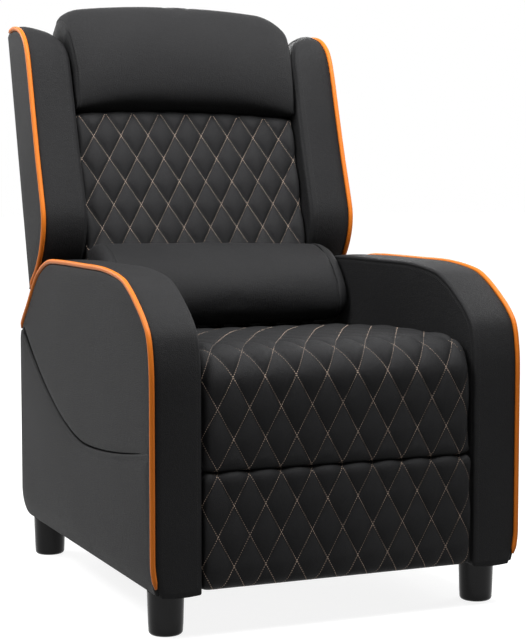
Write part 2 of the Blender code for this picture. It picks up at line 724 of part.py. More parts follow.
def make_linkage(side, sign):
    """The moving bars of one side."""
    front = flat_bar(f"front_swing_arm_{side}", sign, [SWING_FRONT, LEVER, CARRY_FRONT], 1)
    add_hole(front, sign, SWING_FRONT, 1)
    for point in (DRIVE_PIN, LEVER, CARRY_FRONT):
        add_pin(front, sign, point, 1, 2)
    rear = flat_bar(f"rear_swing_arm_{side}", sign, [SWING_REAR, CARRY_REAR], 1)
    add_hole(rear, sign, SWING_REAR, 1)
    add_pin(rear, sign, CARRY_REAR, 1, 2)
    carry = flat_bar(f"carry_link_{side}", sign, [CARRY_FRONT, FOOT_LOW], 2)
    tail = prism(
        f"carry_tail_{side}", strip_outline([CARRY_FRONT, CARRY_REAR], LINK_HALF_WIDTH),
        sign * layer(2)[1], sign * layer(2)[0], side_view, STEEL,
    )
    boolean(carry, tail, "UNION")
    for point in (CARRY_FRONT, CARRY_REAR, FOOT_LOW):
        add_hole(carry, sign, point, 2)
    level = flat_bar(f"level_link_{side}", sign, [LEVER, FOOT_HIGH], 2)
    for point in (LEVER, FOOT_HIGH):
        add_hole(level, sign, point, 2)
    slot_end = drive_pin_in_rod(0.5)
    drive = flat_bar(f"push_rod_{side}", sign, [CRANK_PIN, DRIVE_PIN], 2, DRIVE_HALF_WIDTH)
    slot_plate = prism(
        f"push_rod_eye_{side}", strip_outline([DRIVE_PIN, slot_end], DRIVE_EYE_RADIUS),
        sign * layer(2)[1], sign * layer(2)[0], side_view, STEEL,
    )
    boolean(drive, slot_plate, "UNION")
    add_hole(drive, sign, CRANK_PIN, 2)
    add_hole(drive, sign, DRIVE_PIN, 2, slot_end=slot_end)


def make_torque_tube():
    """Tube that joins the two front swing arms round their pivots."""
    reach = layer(1)[1] - GAP
    made = prism("torque_tube", circle(SWING_FRONT, TUBE_RADIUS, 20), -reach, reach, side_view, STEEL,
                 at_pivot(SWING_FRONT), math.radians(35))
    bore = prism("torque_bore", circle(SWING_FRONT, TUBE_BORE, 20), -reach - OVERRUN, reach + OVERRUN,
                 side_view, STEEL)
    boolean(made, bore, "DIFFERENCE")


def make_base():
    """Seat frame, springs and the rear apron between the arms."""
    rail_bottom = FLANGE_TOP_Z + GAP
    front_low = SEAT_ROLL_REAR_Y + GAP
    front_high = front_low + FRONT_RAIL
    inner_face = ARM_INNER_X - GAP
    prism("front_rail", rectangle(front_low, front_high, FRONT_RAIL_BOTTOM_Z, SEAT_DECK_Z),
          -inner_face, inner_face, side_view, PLYWOOD)
    rear_low = SEAT_REAR_Y - REAR_RAIL
    for side, sign in SIDES.items():
        prism(f"seat_rail_{side}", rectangle(front_high + GAP, rear_low - GAP, rail_bottom, SEAT_DECK_Z),
              sign * RAIL_X, sign * (RAIL_X + RAIL_WIDTH), side_view, PLYWOOD)
    prism("rear_rail", rectangle(rear_low, SEAT_REAR_Y, rail_bottom, SEAT_DECK_Z),
          -RAIL_X - RAIL_WIDTH, RAIL_X + RAIL_WIDTH, side_view, PLYWOOD)
    spring_z = SEAT_DECK_Z + GAP + SPRING_WIRE
    start, end = front_low + SPRING_SEAT, SEAT_REAR_Y - SPRING_SEAT
    steps = 8 * SPRING_WAVES
    for number in range(SPRING_COUNT):
        middle = (number - (SPRING_COUNT - 1) / 2) * SPRING_PITCH
        points = [
            (
                middle + SPRING_SWING * math.sin(2 * math.pi * SPRING_WAVES * step / steps),
                start + (end - start) * step / steps,
                spring_z,
            )
            for step in range(steps + 1)
        ]
        tube(f"seat_spring_{number + 1}", points, SPRING_WIRE, ZINC, 0)
    apron_rear = ARM_REAR_Y - GAP
    prism("rear_apron", rectangle(apron_rear - APRON_THICKNESS, apron_rear, APRON_BOTTOM_Z, APRON_TOP_Z),
          -inner_face, inner_face, side_view, LEATHER)


def along_path(path, spacing_count):
    """Equally spaced points along a polyline."""
    lengths = [0]
    for start, end in zip(path, path[1:]):
        lengths.append(lengths[-1] + math.dist(start, end))
    found = []
    for step in range(spacing_count + 1):
        wanted = lengths[-1] * step / spacing_count
        place = max(i for i, length in enumerate(lengths[:-1]) if length <= wanted or i == 0)
        part = (wanted - lengths[place]) / (lengths[place + 1] - lengths[place])
        start, end = path[place], path[place + 1]
        found.append(tuple(a + (b - a) * min(part, 1) for a, b in zip(start, end)))
    return found


def drawn_in(x, half_width, draw):
    """How far a padded side is drawn in at a distance from the middle."""
    return draw * (abs(x) / half_width) ** 6


def quilted_pad(name, visible, hidden, half_width, draw, place, first_row, origin=(0, 0, 0)):
    """A pad whose visible run is pressed in diamonds and whose hidden run is plain.

    Both runs are side-view points, clockwise, and the visible one has one point for each half diamond.
    """
    loop = [*visible, *hidden]
    normals = outward_normals(loop)
    columns = [column * DIAMOND_WIDTH / 2 for column in range(-DIAMOND_COLUMNS, DIAMOND_COLUMNS + 1)]
    columns = [-half_width, *columns, half_width]
    sections = []
    for number, x in enumerate(columns):
        ring = []
        for row, ((a, b), normal) in enumerate(zip(loop, normals)):
            shift = -drawn_in(x, half_width, draw)
            inside = 0 < number < len(columns) - 1 and 0 < row < len(visible) - 1
            if inside and (number + 1 + row + first_row) % 2:
                shift += QUILT_HEIGHT
            ring.append(place(a + normal[0] * shift, b + normal[1] * shift, x))
        sections.append(ring)
    return lofted(name, sections, QUILTED, origin, diamonds=first_row)


def make_seat_cushion():
    """Seat cushion: quilted from the rear edge over the roll to the crease."""
    radius = SEAT_ROLL_RADIUS
    bend = [
        (
            SEAT_FRONT_Y + radius * (1 - math.cos(math.pi / 2 * step / 8)),
            SEAT_TOP_Z - radius * (1 - math.sin(math.pi / 2 * step / 8)),
        )
        for step in range(9)
    ]
    top = smooth_through([
        bend[-1], (SEAT_FRONT_Y + 4 * radius, SEAT_TOP_Z), (0, SEAT_TOP_Z - SEAT_DIP / 2),
        (SEAT_REAR_Y, SEAT_TOP_Z - SEAT_DIP),
    ], 4)
    path = [(SEAT_FRONT_Y, SEAT_ROLL_BOTTOM_Z), *bend, *top[1:]]
    length = sum(math.dist(start, end) for start, end in zip(path, path[1:]))
    rows = round(length / (SEAT_DIAMOND_HEIGHT / 2))
    underside = SEAT_DECK_Z + 2 * GAP + 2 * SPRING_WIRE
    hidden = [
        (SEAT_REAR_Y, underside), (SEAT_ROLL_REAR_Y, underside), (SEAT_ROLL_REAR_Y, SEAT_ROLL_BOTTOM_Z),
    ]
    quilted_pad("seat_cushion", along_path(path, rows), hidden, SEAT_HALF_WIDTH, SEAT_SIDE_DRAW,
                side_view, 0)


def make_footrest():
    """Board, quilted pad and the two steel brackets of the footrest."""
    origin = at_pivot(FOOT_PIVOT)
    rear = FOOT_BOARD_FRONT_Y + FOOT_BOARD
    board = rectangle(FOOT_BOARD_FRONT_Y, rear, FOOT_BOTTOM_Z + FOOT_BOARD_MARGIN,
                      FOOT_TOP_Z - FOOT_BOARD_MARGIN)
    prism("footrest_board", board, -FOOT_BOARD_HALF_WIDTH, FOOT_BOARD_HALF_WIDTH, side_view, PLYWOOD, origin)
    pad_rear = FOOT_BOARD_FRONT_Y - GAP
    low, high = FOOT_BOTTOM_Z, FOOT_TOP_Z
    face_ends = [(FOOT_FRONT_Y, low + FOOT_EDGE_ROUND), (FOOT_FRONT_Y, high - FOOT_EDGE_ROUND)]
    visible = [
        (FOOT_FRONT_Y + FOOT_EDGE_ROUND, low),
        *along_path(face_ends, FOOT_ROWS),
        (FOOT_FRONT_Y + FOOT_EDGE_ROUND, high),
    ]
    hidden = [(pad_rear, high), (pad_rear, low)]
    quilted_pad("footrest_cushion", visible, hidden, SEAT_HALF_WIDTH, FOOT_EDGE_ROUND, side_view, 1, origin)
    outer, inner = layer(3)
    face = rear + GAP
    for side, sign in SIDES.items():
        outline = [
            (face, FOOT_BRACKET_BOTTOM_Z), (face, FOOT_HIGH[1]), FOOT_HIGH, FOOT_LOW,
            (face + 4 * PLATE, FOOT_BRACKET_BOTTOM_Z),
        ]
        bracket = prism(f"footrest_bracket_{side}", outline, sign * inner, sign * outer, side_view, STEEL,
                        origin)
        ears = prism(
            f"footrest_ears_{side}", strip_outline([FOOT_HIGH, FOOT_LOW], LINK_HALF_WIDTH),
            sign * inner, sign * outer, side_view, STEEL,
        )
        boolean(bracket, ears, "UNION")
        flange = prism(
            f"footrest_flange_{side}",
            rectangle(face, face + PLATE, FOOT_BRACKET_BOTTOM_Z, FOOT_TOP_Z - 2 * FOOT_BOARD_MARGIN),
            sign * (outer - FOOT_BRACKET_FLANGE), sign * (outer - PLATE / 2), side_view, STEEL,
        )
        boolean(bracket, flange, "UNION")
        for point in (FOOT_LOW, FOOT_HIGH):
            add_pin(bracket, sign, point, 3, 2)


def make_back_frame():
    """Brackets, uprights, rails, webbing and rear cover of the back."""
    origin = at_pivot(BACK_PIVOT)
    for side, sign in SIDES.items():
        top = on_back(0, BRACKET_TOP_S, (FRAME_FRONT_T + FRAME_REAR_T) / 2)
        bracket = flat_bar(f"back_bracket_{side}", sign, [BACK_PIVOT, CRANK_PIN], 1, BRACKET_HALF_WIDTH)
        upper = prism(
            f"bracket_upper_{side}", strip_outline([BACK_PIVOT, (top.y, top.z)], BRACKET_HALF_WIDTH),
            sign * layer(1)[1], sign * layer(1)[0], side_view, STEEL,
        )
        boolean(bracket, upper, "UNION")
        add_hole(bracket, sign, BACK_PIVOT, 1, BACK_PIN_RADIUS)
        add_pin(bracket, sign, CRANK_PIN, 1, 2)
        upright = [
            (sign * UPRIGHT_INNER_X, UPRIGHT_BOTTOM_S), (sign * UPRIGHT_FOOT_X, UPRIGHT_BOTTOM_S),
            (sign * UPRIGHT_FOOT_X, UPRIGHT_STEP_S), (sign * UPRIGHT_OUTER_X, UPRIGHT_STEP_S + UPRIGHT_STEP),
            (sign * UPRIGHT_OUTER_X, UPRIGHT_TOP_S), (sign * UPRIGHT_INNER_X, UPRIGHT_TOP_S),
        ]
        prism(f"back_upright_{side}", upright, FRAME_FRONT_T, FRAME_REAR_T, on_back, PLYWOOD, origin)
    reach = UPRIGHT_INNER_X - GAP
    rail_front = FRAME_FRONT_T + BACK_RAIL_SEAT
    lower_rail = UPRIGHT_BOTTOM_S + UPRIGHT_STEP
    upper_rail = UPRIGHT_TOP_S - BACK_RAIL_HEIGHT
    for name, low in (("back_lower_rail", lower_rail), ("back_upper_rail", upper_rail)):
        outline = rectangle(-reach, reach, low, low + BACK_RAIL_HEIGHT)
        prism(name, outline, rail_front, FRAME_REAR_T, on_back, PLYWOOD, origin)
    for number in range(WEBBING_COUNT):
        low = WEBBING_LOW_S + number * WEBBING_PITCH
        outline = rectangle(-UPRIGHT_OUTER_X, UPRIGHT_OUTER_X, low, low + WEBBING_WIDTH)
        front = FRAME_FRONT_T - GAP
        prism(f"back_webbing_{number + 1}", outline, front - WEBBING_THICKNESS, front, on_back, WEBBING,
              origin)
    cover_low = BACK_REAR_T + GAP
    corner = COVER_CORNER
    half = [
        (COVER_WAIST_X, COVER_BOTTOM_S), (COVER_WAIST_X, COVER_WAIST_S), (WING_OUTER_X, WING_BOTTOM_S),
        (WING_OUTER_X, COVER_TOP_S - corner), (WING_OUTER_X - corner, COVER_TOP_S),
    ]
    outline = half + [(-x, s) for x, s in reversed(half)]
    prism("rear_cover", outline, cover_low, cover_low + COVER_THICKNESS, on_back, LEATHER, origin)


def wing_outline():
    """The wing in the back's side view, up its front from the lower tip, as depth and height."""
    front = smooth_through([
        (BACK_REAR_T - forward * WING_DEPTH, WING_BOTTOM_S + up * WING_HEIGHT)
        for up, forward in WING_SHARES
    ])
    return front, [(BACK_REAR_T, front[-1][1] - WING_REAR_ROUND), (BACK_REAR_T, front[0][1])]


def make_wing(side, sign):
    """Padded wing, and the piping cord round its outer edge."""
    origin = at_pivot(BACK_PIVOT)
    front, rear = wing_outline()
    outline = front + rear
    rise = WING_BOTTOM_S + WING_HEIGHT - WING_FLARE_S
    inner = [
        WING_INNER_LOW_X + (WING_INNER_TOP_X - WING_INNER_LOW_X) * max(s - WING_FLARE_S, 0) / rise
        for _, s in outline
    ]
    outer = [WING_OUTER_X] * len(outline)
    steps = [
        (inner, 0, -WING_ROUND), (inner, WING_ROUND / 3, -WING_ROUND / 3), (inner, WING_ROUND, 0),
        (outer, -ARM_EDGE_CHAMFER, 0), (outer, 0, -ARM_EDGE_CHAMFER),
    ]
    sections = []
    for places, inset, grow in steps:
        ring = offset_outline(outline, grow)
        sections.append([
            on_back(sign * (x + inset), s, min(t, BACK_REAR_T)) for x, (t, s) in zip(places, ring)
        ])
    lofted(f"wing_{side}", sections, LEATHER, origin, smooth_angle=math.radians(35))
    stand = piping_offset(ARM_EDGE_CHAMFER)
    path = offset_outline(outline, stand)[1:len(front) - 1]
    x = sign * (WING_OUTER_X + stand)
    points = [on_back(x, s, t) for t, s in path]
    tube(f"wing_piping_{side}", points, PIPING_RADIUS, PIPING, origin=origin)


def in_back_plane(t, s, x):
    """A profile of the back, given as depth and height, at a place across it."""
    return on_back(x, s, t)


def make_back_pads():
    """Quilted back cushion, head pad and lumbar pillow."""
    origin = at_pivot(BACK_PIVOT)
    pad_rear = FRAME_FRONT_T - 2 * GAP - WEBBING_THICKNESS
    low, high, turn = BACK_PAD_BOTTOM_S, HEAD_BOTTOM_S - GAP, BACK_PAD_ROUND
    middle = (low + high) / 2
    front = smooth_through([
        (BACK_PAD_FRONT_T, low + turn), (BACK_PAD_FRONT_T - GAP, (low + middle) / 2),
        (BACK_PAD_FRONT_T + BACK_PAD_HOLLOW, middle),
        (BACK_PAD_FRONT_T + BACK_PAD_HOLLOW, high - BACK_PLAIN_TOP),
    ], 3)
    turned_in = BACK_PAD_FRONT_T + turn
    top_edge = (BACK_PAD_FRONT_T + BACK_PAD_HOLLOW, high - BACK_PAD_TOP_ROUND)
    visible = [(turned_in, low), *along_path(front, BACK_ROWS), top_edge]
    hidden = [(turned_in, high), (pad_rear, high), (pad_rear, low)]
    quilted_pad("back_cushion", visible, hidden, BACK_PAD_HALF_WIDTH, BACK_SIDE_DRAW, in_back_plane, 0,
                origin)

    seat_t = FRAME_FRONT_T - GAP
    depth = HEAD_FRONT_T - BACK_REAR_T
    height = HEAD_TOP_S - HEAD_BOTTOM_S
    profile = [(seat_t, HEAD_BOTTOM_S), (seat_t, UPRIGHT_TOP_S)]
    profile += [(BACK_REAR_T + forward * depth, HEAD_BOTTOM_S + up * height) for forward, up in HEAD_SHARES]
    profile.reverse()
    make_smooth_pad("head_pad", profile, HEAD_HALF_WIDTH, HEAD_SIDE_DRAW, HEAD_COLUMNS, origin)

    rear = BACK_PAD_FRONT_T - QUILT_HEIGHT - 2 * GAP
    profile = [
        (rear - forward * LUMBAR_DEPTH, LUMBAR_BOTTOM_S + up * LUMBAR_HEIGHT) for forward, up in LUMBAR_SHARES
    ]
    profile.reverse()
    make_smooth_pad("lumbar_pillow", profile, LUMBAR_HALF_WIDTH, LUMBAR_SIDE_DRAW, LUMBAR_COLUMNS, origin)


def make_smooth_pad(name, profile, half_width, draw, columns, origin):
    """A plain pad whose ends are drawn in all round."""
    normals = outward_normals(profile)
    sections = []
    for column in range(columns + 1):
        x = -half_width * math.cos(math.pi * column / columns)
        shift = -draw * (1 - math.sqrt(max(1 - (abs(x) / half_width) ** 4, 0)))
        ring = [in_back_plane(t + n[0] * shift, s + n[1] * shift, x) for (t, s), n in zip(profile, normals)]
        sections.append(ring)
    lofted(name, sections, LEATHER, origin, smooth_angle=math.radians(60))


for side_name, side_sign in SIDES.items():
    make_arm(side_name, side_sign)
    make_side_plate(side_name, side_sign)
    make_linkage(side_name, side_sign)
    make_wing(side_name, side_sign)
    make_leg(f"leg_front_{side_name}", side_sign, LEG_FRONT_Y)
    make_leg(f"leg_rear_{side_name}", side_sign, LEG_REAR_Y)
make_torque_tube()
make_base()
make_seat_cushion()
make_footrest()
make_back_frame()
make_back_pads()
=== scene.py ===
"""Looks of a push-back gaming recliner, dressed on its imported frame.

Metres, +Z up, front towards -Y, and the sitter's right hand is at -X. Every piece takes its place from the
frame's own boxes. The back is drawn in its own plane: s runs up it and t towards the rear, from the recline
pivot.
"""

import json
import math

import bpy
import numpy as np
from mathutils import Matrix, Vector
from mathutils.geometry import delaunay_2d_cdt


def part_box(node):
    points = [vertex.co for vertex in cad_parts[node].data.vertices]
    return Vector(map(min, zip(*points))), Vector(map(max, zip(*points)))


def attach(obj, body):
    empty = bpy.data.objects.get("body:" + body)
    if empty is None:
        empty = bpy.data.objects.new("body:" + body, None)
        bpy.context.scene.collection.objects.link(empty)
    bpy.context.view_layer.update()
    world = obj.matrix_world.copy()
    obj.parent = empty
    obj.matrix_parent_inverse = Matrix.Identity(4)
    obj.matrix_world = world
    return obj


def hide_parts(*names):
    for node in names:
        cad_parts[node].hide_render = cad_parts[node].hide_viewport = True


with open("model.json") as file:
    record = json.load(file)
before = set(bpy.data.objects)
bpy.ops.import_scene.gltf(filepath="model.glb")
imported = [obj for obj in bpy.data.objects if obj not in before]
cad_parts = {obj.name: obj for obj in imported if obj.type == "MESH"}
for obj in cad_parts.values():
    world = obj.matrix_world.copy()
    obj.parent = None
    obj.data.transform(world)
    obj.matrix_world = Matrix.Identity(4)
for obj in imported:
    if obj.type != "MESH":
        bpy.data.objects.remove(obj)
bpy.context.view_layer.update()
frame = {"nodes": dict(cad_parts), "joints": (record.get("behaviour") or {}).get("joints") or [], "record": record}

SIDES = {"left": -1, "right": 1}

# Places read from the frame
ARM_LOW, ARM_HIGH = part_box("arm_cover_right")
SEAT_LOW, SEAT_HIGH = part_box("seat_cushion")
FOOT_LOW, FOOT_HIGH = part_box("footrest_cushion")
LUMBAR_LOW, LUMBAR_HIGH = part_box("lumbar_pillow")
HEAD_LOW, HEAD_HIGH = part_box("head_pad")
WING_LOW, WING_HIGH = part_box("wing_right")
APRON_LOW, APRON_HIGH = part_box("rear_apron")
PIVOT = next(joint["pos_m"] for joint in frame["joints"] if joint["name"] == "back_recline")

# The back's own plane
BACK_LEAN = math.radians(15.5)
BACK_UP = np.array([0, math.sin(BACK_LEAN), math.cos(BACK_LEAN)])
BACK_REAR = np.array([0, math.cos(BACK_LEAN), -math.sin(BACK_LEAN)])

# Arms
ARM_INNER_X = ARM_LOW.x + 0.0004
ARM_INNER_ROUND = 0.0055
ARM_SEAM_DEPTH = 0.0012
ARM_TOP_CROWN = 0.0015
ARM_OUTER_CROWN = 0.0016
ARM_INNER_CROWN = 0.0020
ARM_TUCK = 0.010
ARM_TUCK_Z = 0.130
# Shares of the arm's depth and height, up its front, over the top and down the rear
ARM_SHARES = [
    (0, 0.60), (0, 0.65), (0.003, 0.725), (0.016, 0.806), (0.044, 0.856), (0.087, 0.903), (0.142, 0.951),
    (0.197, 0.979), (0.313, 0.998), (0.456, 1), (0.658, 1), (0.752, 0.991), (0.827, 0.950),
    (0.874, 0.899), (0.922, 0.829), (0.981, 0.749), (1, 0.690),
]
ARM_REAR_SHARES = [(1, 0.055), (0.989, 0.016), (0.966, 0)]

# Side pockets
POCKET_DEPTH = 0.016
POCKET_FRONT_INSET = 0.018
POCKET_REAR_INSET = 0.015
POCKET_FRONT_Z = 0.300
POCKET_DIP_Z = 0.266
POCKET_REAR_Z = 0.436
POCKET_DIP_SHARE = 0.45
POCKET_SLIT_FRONT = 0.0006
POCKET_SLIT_REAR = 0.016
POCKET_FLOOR_RISE = 0.036
POCKET_OPEN_FROM = 0.014
POCKET_FADE = 0.110
POCKET_LAP = 0.0035

# Piping and thread
ARM_PIPING_RADIUS = 0.0043
WING_PIPING_RADIUS = 0.0046
PIPING_FOOT_Z = 0.088
PIPING_SIDES = 14
PIPING_REAR_SHARE = 0.994
STITCH_PITCH = 0.0039
STITCH_SHARE = 0.56
STITCH_RADIUS = 0.00068
STITCH_FLATNESS = 0.45
STITCH_SINK = 0.45
SEAM_PITCH = 0.0050
SEAM_RADIUS = 0.00032
# A sewn dash: shares of its length, and its thickness there
DASH_SHAPE = [(0.0, 0.35), (0.12, 0.85), (0.5, 1.0), (0.88, 0.85), (1.0, 0.35)]
DASH_SIDES = 5
# The chamfer that piping lies in, as shares of its size: how far from the outer face, and how far in
EDGE_CHAMFER = 0.0085
CHAMFER_SHARES = [(1, 0), (0.62, 0.30), (0.45, 0.60), (0.12, 0.78), (0, 1)]
# Where a swelling face is drawn, as shares of its width
CROWN_PARTS = (0.12, 0.3, 0.5, 0.7, 0.88)

# Pads
SEAT_FRONT_ROLL = 0.062
BACK_HALF = 0.2295
BACK_FACE_T = -0.080
BACK_REAR_T = -0.0352
BACK_BOTTOM_S = 0.086
BACK_CROSSING_S = 0.430
QUILT_STEPS = 8
QUILT_HEIGHT = 0.0058
QUILT_SWELL = 0.0035
QUILT_ROOM = 0.006
SEAT_DIAMOND = (0.0547, 0.098)
BACK_DIAMOND = (0.0555, 0.0925)
SEAT_SIDE_ROLL = 0.026
FOOT_SIDE_ROLL = 0.016
BACK_SIDE_ROLL = 0.010
CREASE_CLOSE = 0.0015

# Cloth for the short runs that fill the pads
CLOTH = {
    "quality": 5, "mass": 0.3, "tension_stiffness": 15, "compression_stiffness": 15, "shear_stiffness": 5,
    "bending_stiffness": 1.5, "vertex_group_mass": "sewn", "use_pressure": True,
    "uniform_pressure_force": 4.0,
}
CLOTH_FRAMES = 20

# Camera, from the photograph's perspective
CAMERA_PLACE = (-1.2114, -2.8723, 0.722)
CAMERA_AZIMUTH = math.radians(23.56)
CAMERA_PITCH = math.radians(4.69)
CAMERA_LENS = 95.8
CAMERA_SENSOR = 36


# Shaders

class Wire:
    """A node's output, which takes part in sums with numbers and other outputs."""

    def __init__(self, nodes, socket):
        self.nodes = nodes
        self.socket = socket

    def reckon(self, operation, first, second):
        return self.nodes.node("ShaderNodeMath", {"operation": operation}, {0: first, 1: second})

    def __add__(self, other):
        return self.reckon("ADD", self, other)

    def __radd__(self, other):
        return self.reckon("ADD", other, self)

    def __sub__(self, other):
        return self.reckon("SUBTRACT", self, other)

    def __rsub__(self, other):
        return self.reckon("SUBTRACT", other, self)

    def __mul__(self, other):
        return self.reckon("MULTIPLY", self, other)

    def __rmul__(self, other):
        return self.reckon("MULTIPLY", other, self)

    def __pow__(self, other):
        return self.reckon("POWER", self, other)


class Nodes:
    """Makes and links the nodes of one tree."""

    def __init__(self, tree):
        self.tree = tree

    def node(self, kind, settings=None, inputs=None, output=0):
        made = self.tree.nodes.new(kind)
        for key, value in (settings or {}).items():
            setattr(made, key, value)
        for key, value in (inputs or {}).items():
            if isinstance(value, Wire):
                self.tree.links.new(value.socket, made.inputs[key])
            else:
                made.inputs[key].default_value = value
        return Wire(self, made.outputs[output])


class Finish(Nodes):
    """One material: a Principled shader and the nodes that feed it."""

    def __init__(self, name, **constants):
        self.material = bpy.data.materials.new(name)
        self.material.use_nodes = True
        super().__init__(self.material.node_tree)
        self.shader = self.tree.nodes["Principled BSDF"]
        for key, value in constants.items():
            self.shader.inputs[key.replace("_", " ")].default_value = value

    def place(self, stretch=(1, 1, 1)):
        """Real coordinates, in metres, stretched along each axis."""
        coordinates = self.node("ShaderNodeTexCoord", output=3)
        return self.node("ShaderNodeVectorMath", {"operation": "MULTIPLY"}, {0: coordinates, 1: stretch})

    def noise(self, size, detail=2.0, stretch=(1, 1, 1)):
        """Noise from 0 to 1 whose features are about this many metres across."""
        inputs = {"Vector": self.place(stretch), "Scale": 1 / size, "Detail": detail}
        return self.node("ShaderNodeTexNoise", None, inputs)

    def between(self, amount, first, second):
        """A colour between two colours."""
        inputs = {0: amount, 6: (*first, 1), 7: (*second, 1)}
        return self.node("ShaderNodeMix", {"data_type": "RGBA"}, inputs, output=2)

    def look(self, colour, roughness, height, depth):
        """The material, with its colour, roughness and bump wired in."""
        bump = self.node("ShaderNodeBump", None, {"Height": height, "Distance": depth, "Strength": 1.0})
        for key, wire in (("Base Color", colour), ("Roughness", roughness), ("Normal", bump)):
            self.tree.links.new(wire.socket, self.shader.inputs[key])
        return self.material


def leather(name, dark, light, roughness, specular=0.043, grain=0.0015, depth=0.0006):
    """Soft coated leather: pebbled grain, faint creases and cloudy shine."""
    finish = Finish(name, Specular_IOR_Level=specular)
    cloud = finish.noise(0.16, 3.0)
    pebbles = finish.node("ShaderNodeTexVoronoi", None, {"Vector": finish.place(), "Scale": 1 / grain})
    creases = finish.noise(0.009, 5.0)
    mottle = finish.noise(0.0035)
    colour = finish.between(0.35 * cloud + 0.25 * pebbles + 0.40 * mottle, dark, light)
    shine = roughness - 0.10 + 0.10 * cloud + 0.14 * mottle - 0.04 * pebbles
    height = 0.75 * pebbles + 0.5 * finish.noise(grain / 3, 1.0) + 0.9 * creases
    return finish.look(colour, shine, height, depth)


def thread(name, dark, light):
    """Twisted sewing thread."""
    finish = Finish(name, Specular_IOR_Level=0.25)
    strands = finish.noise(0.0009)
    return finish.look(finish.between(strands, dark, light), 0.55 + 0.2 * strands, strands, 0.0001)


def moulded_plastic(name):
    """Satin black plastic with a fine spark-eroded texture and scuffs."""
    finish = Finish(name, Specular_IOR_Level=0.15)
    fine = finish.noise(0.0008)
    scuffs = finish.noise(0.02, 5.0, (1, 1, 0.15))
    colour = finish.between(scuffs, (0.0025, 0.0025, 0.0028), (0.0070, 0.0070, 0.0074))
    return finish.look(colour, 0.12 + 0.10 * scuffs + 0.04 * fine, fine, 0.00005)


def coated_steel(name):
    """Black powder coat: orange-peel bumps, worn lighter in places."""
    finish = Finish(name, Specular_IOR_Level=0.5, Metallic=0.35)
    peel = finish.noise(0.0018)
    wear = finish.noise(0.03, 6.0) ** 3
    colour = finish.between(2.0 * wear, (0.020, 0.020, 0.022), (0.075, 0.075, 0.078))
    return finish.look(colour, 0.38 + 0.2 * wear + 0.06 * peel, peel, 0.0001)


def zinc_wire(name):
    """Bright spring wire with drawn streaks."""
    finish = Finish(name, Metallic=1.0)
    streaks = finish.noise(0.002, 3.0, (1, 0.1, 1))
    colour = finish.between(streaks, (0.32, 0.32, 0.33), (0.58, 0.58, 0.58))
    return finish.look(colour, 0.28 + 0.25 * streaks, streaks, 0.00004)


def plywood(name):
    """Birch plywood: long grain with darker streaks."""
    finish = Finish(name, Specular_IOR_Level=0.3)
    streaks = finish.noise(0.006, 5.0, (1, 0.08, 1))
    figure = finish.noise(0.05, 3.0, (1, 0.15, 1))
    colour = finish.between(0.6 * streaks + 0.4 * figure, (0.30, 0.19, 0.10), (0.60, 0.44, 0.27))
    return finish.look(colour, 0.62 + 0.2 * streaks, streaks, 0.0003)


def webbing(name):
    """Elastic webbing woven in ribs."""
    finish = Finish(name, Specular_IOR_Level=0.2)
    inputs = {"Vector": finish.place(), "Scale": 160.0, "Distortion": 0.4}
    ribs = finish.node("ShaderNodeTexWave", {"bands_direction": "X"}, inputs)
    fuzz = finish.noise(0.001)
    colour = finish.between(0.6 * ribs + 0.4 * fuzz, (0.012, 0.012, 0.013), (0.050, 0.050, 0.052))
    return finish.look(colour, 0.8 + 0.15 * fuzz, ribs, 0.0004)


LEATHER = leather("charcoal leather", (0.005, 0.005, 0.0055), (0.0245, 0.0245, 0.025), 0.50)
QUILTED = leather("quilted leather", (0.007, 0.007, 0.0075), (0.023, 0.023, 0.0235), 0.46)
ORANGE = leather("orange piping", (0.42, 0.099, 0.008), (0.515, 0.145, 0.014), 0.42, 0.12, 0.0009, 0.00010)
COPPER_THREAD = thread("copper thread", (0.37, 0.27, 0.20), (0.64, 0.50, 0.40))
BLACK_THREAD = thread("black thread", (0.010, 0.010, 0.0105), (0.026, 0.026, 0.027))
PLASTIC = moulded_plastic("satin black plastic")
STEEL = coated_steel("black powder coat")
SPRING = zinc_wire("spring wire")
PLYWOOD = plywood("birch plywood")
WEBBING = webbing("ribbed webbing")


# Outlines and meshes

def smooth_through(points, steps=6):
    """Points on a Catmull-Rom curve through the given points."""
    points = np.asarray(points, float)
    ends = np.vstack([points[:1], points, points[-1:]])
    found = []
    for before, start, end, after in zip(ends, ends[1:], ends[2:], ends[3:]):
        for u in np.arange(steps) / steps:
            found.append(0.5 * (
                2 * start + (end - before) * u + (2 * before - 5 * start + 4 * end - after) * u**2
                + (3 * start - before - 3 * end + after) * u**3
            ))
    return np.array([*found, points[-1]])


def arc(centre, radius, start, end, steps=8):
    """Points on an arc, with its angles in degrees."""
    turns = np.radians(np.linspace(start, end, steps + 1))
    return np.stack([centre[0] + radius * np.cos(turns), centre[1] + radius * np.sin(turns)], 1)


def run_length(path):
    return np.concatenate([[0], np.cumsum(np.linalg.norm(np.diff(path, axis=0), axis=1))])


def at_length(path, wanted):
    """Points of a path at the given lengths along it."""
    lengths = run_length(path)
    return np.stack([np.interp(wanted, lengths, path[:, axis]) for axis in range(path.shape[1])], 1)


def respaced(path, spacing):
    """The path with points at an even spacing, its ends kept."""
    total = run_length(path)[-1]
    return at_length(path, np.linspace(0, total, max(round(total / spacing), 2) + 1))


def outward_normals(outline, closed=True):
    """Mitred normals of an outline that runs clockwise."""
    ahead = np.roll(outline, -1, 0) - outline
    if not closed:
        ahead[-1] = ahead[-2]
    ahead /= np.linalg.norm(ahead, axis=1)[:, None]
    ahead = np.stack([-ahead[:, 1], ahead[:, 0]], 1)
    behind = np.roll(ahead, 1, 0)
    if not closed:
        behind[0] = ahead[0]
    spread = 1 + (ahead * behind).sum(1)
    return (ahead + behind) / np.maximum(spread, 0.6)[:, None]


def drawn_in(outline, distance, closed=True):
    """The outline moved inwards."""
    return outline - outward_normals(outline, closed) * distance


